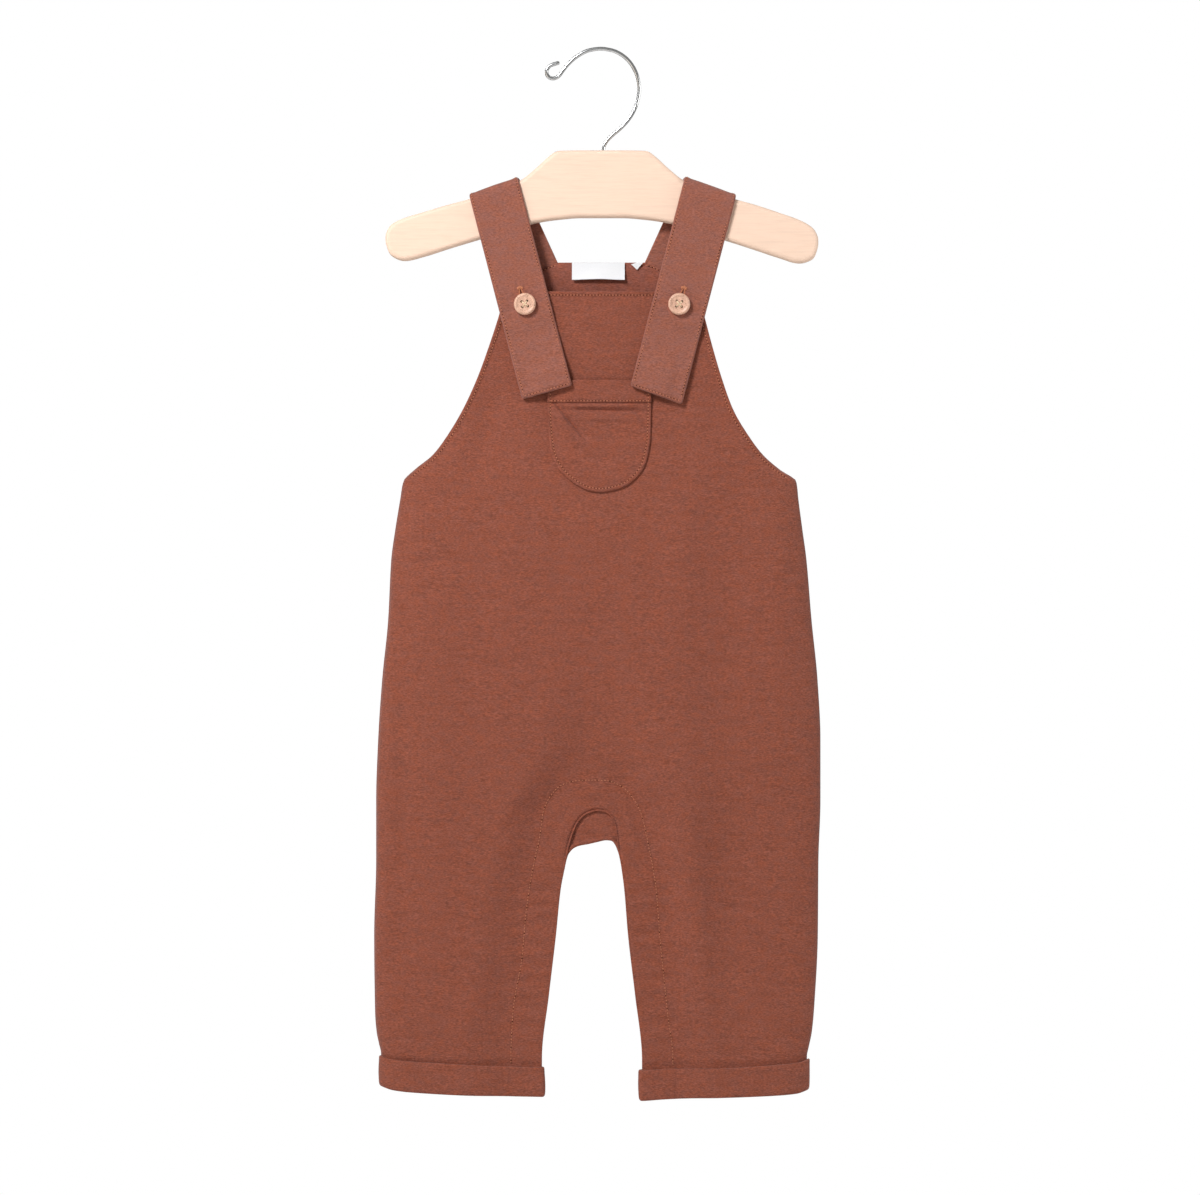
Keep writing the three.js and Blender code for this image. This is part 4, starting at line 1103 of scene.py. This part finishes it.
def ribbon(name, colour):
    look = Looks(name)
    weave = look.noise((1.0, 1.0, 2.4), 1900.0, 1.0)
    woven = look.ramp(weave, [(0.3, shade(colour, 0.93)), (0.7, colour)])
    look.set(Base_Color=woven, Roughness=0.7, Sheen_Weight=0.2)
    look.bump(weave, 0.05, 0.5)
    return look.material


def pale_wood(name, colour):
    look = Looks(name)
    grain = look.noise((0.16, 1.2, 2.2), 260.0, 4.0, 0.6)
    pores = look.noise((0.12, 1.5, 3.4), 900.0, 2.0)
    base = look.ramp(grain, [(0.3, shade(colour, 0.94)), (0.5, colour), (0.7, shade(colour, 1.03))])
    fine = look.ramp(pores, [(0.32, (0.97, 0.95, 0.93)), (0.5, grey(1.0))])
    look.set(Base_Color=look.product(base, fine), Roughness=0.55, Specular_IOR_Level=0.3)
    look.bump(pores, 0.05, 0.35)
    return look.material


def steel(name):
    look = Looks(name)
    drawn = look.noise((1.0, 1.0, 1.0), 90.0, 1.0)
    bright = look.ramp(drawn, [(0.3, (0.60, 0.60, 0.59)), (0.7, (0.68, 0.68, 0.67))])
    look.set(Base_Color=bright, Metallic=1.0, Roughness=0.24)
    return look.material


CLOTH = knit("heather_knit", (0.253, 0.0745, 0.0432))
# Straps: their own finer, less slubby knit, on a lighter, greyer base that is painted light and sheen falling
# on them
LIT_STRAP_KNIT = knit("strap_knit_painted_lighter", (0.29, 0.102, 0.067), contrast=0.9, slub=0.4)
BACK_CLOTH = knit("back_knit", (0.268, 0.084, 0.053), contrast=0.9)
SEAM_THREAD = thread("seam_thread", (0.50, 0.19, 0.105))
# Painted shade: the near-black bars between stitches stand for the shadow in the needle holes
DIP_SHADE = thread("painted_needle_hole_shade", (0.09, 0.02, 0.012))
BUTTONHOLE_THREAD = thread("buttonhole_thread", (0.50, 0.19, 0.10))
PALE_THREAD = thread("pale_thread", (0.78, 0.60, 0.40))
BUTTON_LOOK = speckled("speckled_button", (0.70, 0.42, 0.295))
LABEL_LOOK = ribbon("blank_ribbon", grey(0.80))
WOOD = pale_wood("pale_wood", (0.87, 0.635, 0.485))
STEEL = steel("bright_wire")


# Seams
def edge_rows(panel, rows):
    """Stitches a set way in from the armholes and the top edge."""
    z = np.linspace(ARMHOLE_FOOT + 4, panel.top, 200)
    top_z = panel.top - EDGE_STITCH_IN
    corners = []
    for half, inset in (("left", EDGE_STITCH_IN), ("right", -EDGE_STITCH_IN)):
        x, level = inset_line(panel.outer_x(half, z), z, inset)
        below = level < top_z
        rows.on_cloth(panel, x[below], level[below])
        corners.append(float(panel.outer_x(half, top_z)) + inset)
    rows.on_cloth(panel, np.linspace(*corners, 60), np.full(60, top_z))


def band_rows(panel, rows):
    """Stitches beside the band's seam, down to the turned-up hems."""
    x, z = inset_line(*route(panel.seam, 500), -BAND_STITCH_OUT)
    keep = z > HEM_BOTTOM + HEM_HEIGHT + 1.5
    rows.on_cloth(panel, x[keep], z[keep], 0.12, BAND_DIP_EVERY)


def strap_seam_rows(rows):
    """Short rows on the back's inner face, where each strap is sewn on."""
    for line_x in ([-29.5, -33.5, -38.5, -44.0], [28.5, 32.5, 37.5, 43.0]):
        x = np.linspace(line_x[0], line_x[-1], 30)
        z = through(np.abs(line_x), [-139.0, -140.4, -142.6, -145.6], np.abs(x))
        rows.run(BACK.place(x, z, -CLOTH_WALL - 0.1), [0, -1, 0])


def panel_thread(name, panel):
    rows = Thread()
    if panel is BACK:
        strap_seam_rows(rows)
    edge_rows(panel, rows)
    band_rows(panel, rows)
    return rows.make(name)


def pocket_thread(name):
    """One row inside the pocket's edge and one along its top hem."""
    rows = Thread()
    x, z = inset_line(*route(POCKET_EDGE, 260), -POCKET_STITCH_IN)
    rows.on_cloth(FRONT, x, z, pocket_out(x, z) + 0.05)
    x = np.linspace(*POCKET_MOUTH, 40)
    z = np.full(40, POCKET_EDGE["z"][0] - POCKET_HEM + 0.3)
    rows.on_cloth(FRONT, x, z, pocket_out(x, z) + 0.05)
    return rows.make(name)


def strap_thread(name, side):
    """One row inside both edges and across the end."""
    rows = Thread()
    end = FRONT_END[side] + STRAP_STITCH_IN
    edge = STRAP_WIDTH[side] / 2 - STRAP_STITCH_IN
    along = np.linspace(end, BACK_END - 1, 260)
    for across in (-edge, edge):
        run = slanted(side, across, along)
        face, above = (strap_place(side, across, run, STRAP_WALL / 2 + up + 0 * along) for up in (-0.02, 1))
        place, way = evenly(face, STITCH_SPACING)
        outer, _ = evenly(above, STITCH_SPACING)
        count = min(len(place), len(outer))
        rows.add(place[:count], way[:count], outer[:count] - place[:count])
    across = np.linspace(-edge, edge, 40)
    out = STRAP_WALL / 2 + 0.15 + 0 * across
    rows.run(strap_place(side, across, end + STRAP_SLANT[side] * across, out), [0, -1, 0])
    return rows.make(name)


def paint(obj, material):
    obj.data.materials.clear()
    obj.data.materials.append(material)


def placed(obj, slot, *nodes):
    """Lets a piece ride with the frame's root and replace the frame's nodes."""
    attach(obj, "root")
    if nodes:
        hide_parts(*nodes)
    return obj


def finished(obj, material, slot, *nodes):
    paint(obj, material)
    return placed(obj, slot, *nodes)


def seam(rows, slot):
    """Finishes stitches and the near-black bars of painted needle-hole shade between them as one piece with
    two looks.
    """
    stitches, hole_shade_bars = rows
    paint(stitches, SEAM_THREAD)
    paint(hole_shade_bars, DIP_SHADE)
    return placed(join(stitches.name, [stitches, hole_shade_bars]), slot)


front = finished(panel_sheet("front_cloth", FRONT), CLOTH, "cloth", "front_panel")
back = finished(panel_sheet("back_cloth", BACK), BACK_CLOTH, "cloth", "back_panel")
front_band = finished(band_sheet("front_band", FRONT), CLOTH, "cloth", "inseam_band_front")
back_band = finished(band_sheet("back_band", BACK), CLOTH, "cloth", "inseam_band_back")
hem_left = finished(hem_ring("hem_left", "left"), CLOTH, "cloth", "cuff_left")
hem_right = finished(hem_ring("hem_right", "right"), CLOTH, "cloth", "cuff_right")
pocket = finished(pocket_sheet("pocket_cloth"), CLOTH, "cloth", "bib_pocket")
straps, strap_parts = {}, {}
for side, word in ((-1, "left"), (1, "right")):
    strap = strap_mesh(f"strap_cloth_{word}", side)
    straps[side] = finished(strap, LIT_STRAP_KNIT, "strap_cloth", f"strap_{word}")
    strap_parts[side] = [
        seam(strap_thread(f"strap_thread_{word}", side), "strap_cloth"),
        finished(buttonhole(f"buttonhole_{word}", side), BUTTONHOLE_THREAD, "strap_cloth"),
    ]
    finished(button(f"button_disc_{word}", side), BUTTON_LOOK, "button", f"button_{word}")
    finished(button_thread(f"button_thread_{word}", side), PALE_THREAD, "button")
neck_ribbon = finished(label("neck_ribbon"), LABEL_LOOK, "label", "neck_label")
finished(size_tab("tab_ribbon"), LABEL_LOOK, "label", "size_tab")
finished(hanger_body("hanger_wood"), WOOD, "wood", "hanger_body")
finished(wire("hook_wire"), STEEL, "wire", "hanger_hook")
front_seams = seam(panel_thread("front_thread", FRONT), "cloth")
back_seams = seam(panel_thread("back_thread", BACK), "cloth")
pocket_seams = seam(pocket_thread("pocket_thread"), "cloth")

# Floor, light, world and camera
FLOOR_Z, FLOOR_HALF, FLOOR_BEHIND = -950.0, 2000.0, 800.0
floor = new_object("floor", [
    (-FLOOR_HALF, -FLOOR_HALF, FLOOR_Z), (FLOOR_HALF, -FLOOR_HALF, FLOOR_Z),
    (FLOOR_HALF, FLOOR_BEHIND, FLOOR_Z), (-FLOOR_HALF, FLOOR_BEHIND, FLOOR_Z),
], [(0, 1, 2, 3)])
floor_look = Looks("floor_white")
floor_look.set(Base_Color=grey(0.9), Roughness=0.9)
paint(floor, floor_look.material)


def soft_light(name, place, size, power, colour=(1.0, 1.0, 1.0)):
    """A square light that faces the garment's middle."""
    data = bpy.data.lights.new(name, "AREA")
    data.color = colour
    data.shape = "RECTANGLE"
    data.size, data.size_y = size, size
    data.energy = power
    light = bpy.data.objects.new(name, data)
    light.location = place
    light.rotation_euler = (Vector(MIDDLE) - Vector(place)).to_track_quat("-Z", "Y").to_euler()
    bpy.context.scene.collection.objects.link(light)


MIDDLE = (0.0, 0.0, -0.36)
soft_light("main_light", (-0.74, -1.12, 0.72), 0.34, 25.4, (0.98, 1.0, 1.04))
soft_light("fill_light", (-1.2, -1.15, -0.4), 1.0, 3.9, (1.0, 0.86, 0.72))
soft_light("side_light", (1.35, -0.16, 0.0), 0.7, 8.0)
soft_light("rear_light", (-0.6, 1.5, 0.3), 0.8, 10.0)

# The room is brighter in front of the garment than behind it, and the camera sees it as white
world = bpy.data.worlds.new("white_world")
bpy.context.scene.world = world
world.use_nodes = True
nodes, links = world.node_tree.nodes, world.node_tree.links
background = nodes["Background"]
background.inputs["Color"].default_value = (1, 1, 1, 1)
direction = nodes.new("ShaderNodeTexCoord")
parts = nodes.new("ShaderNodeSeparateXYZ")
ray = nodes.new("ShaderNodeLightPath")
room, level = nodes.new("ShaderNodeMapRange"), nodes.new("ShaderNodeMapRange")
room.inputs["From Min"].default_value = -1.0
room.inputs["To Min"].default_value = AMBIENT_FRONT
room.inputs["To Max"].default_value = AMBIENT_BEHIND
level.inputs["To Max"].default_value = 1.0
links.new(direction.outputs["Generated"], parts.inputs["Vector"])
links.new(parts.outputs["Y"], room.inputs["Value"])
links.new(ray.outputs["Is Camera Ray"], level.inputs["Value"])
links.new(room.outputs["Result"], level.inputs["To Min"])
links.new(level.outputs["Result"], background.inputs["Strength"])

camera_data = bpy.data.cameras.new("front_camera")
camera_data.sensor_width = SENSOR
camera_data.lens = SENSOR * CAMERA_DISTANCE / FRAME_WIDTH
camera = bpy.data.objects.new("front_camera", camera_data)
camera.location = (CENTRE_X, -CAMERA_DISTANCE, CENTRE_Z)
camera.rotation_euler = (math.pi / 2, 0, 0)
bpy.context.scene.collection.objects.link(camera)
bpy.context.scene.camera = camera

scene = bpy.context.scene
scene.view_settings.view_transform = "Standard"
scene.view_settings.look = "None"
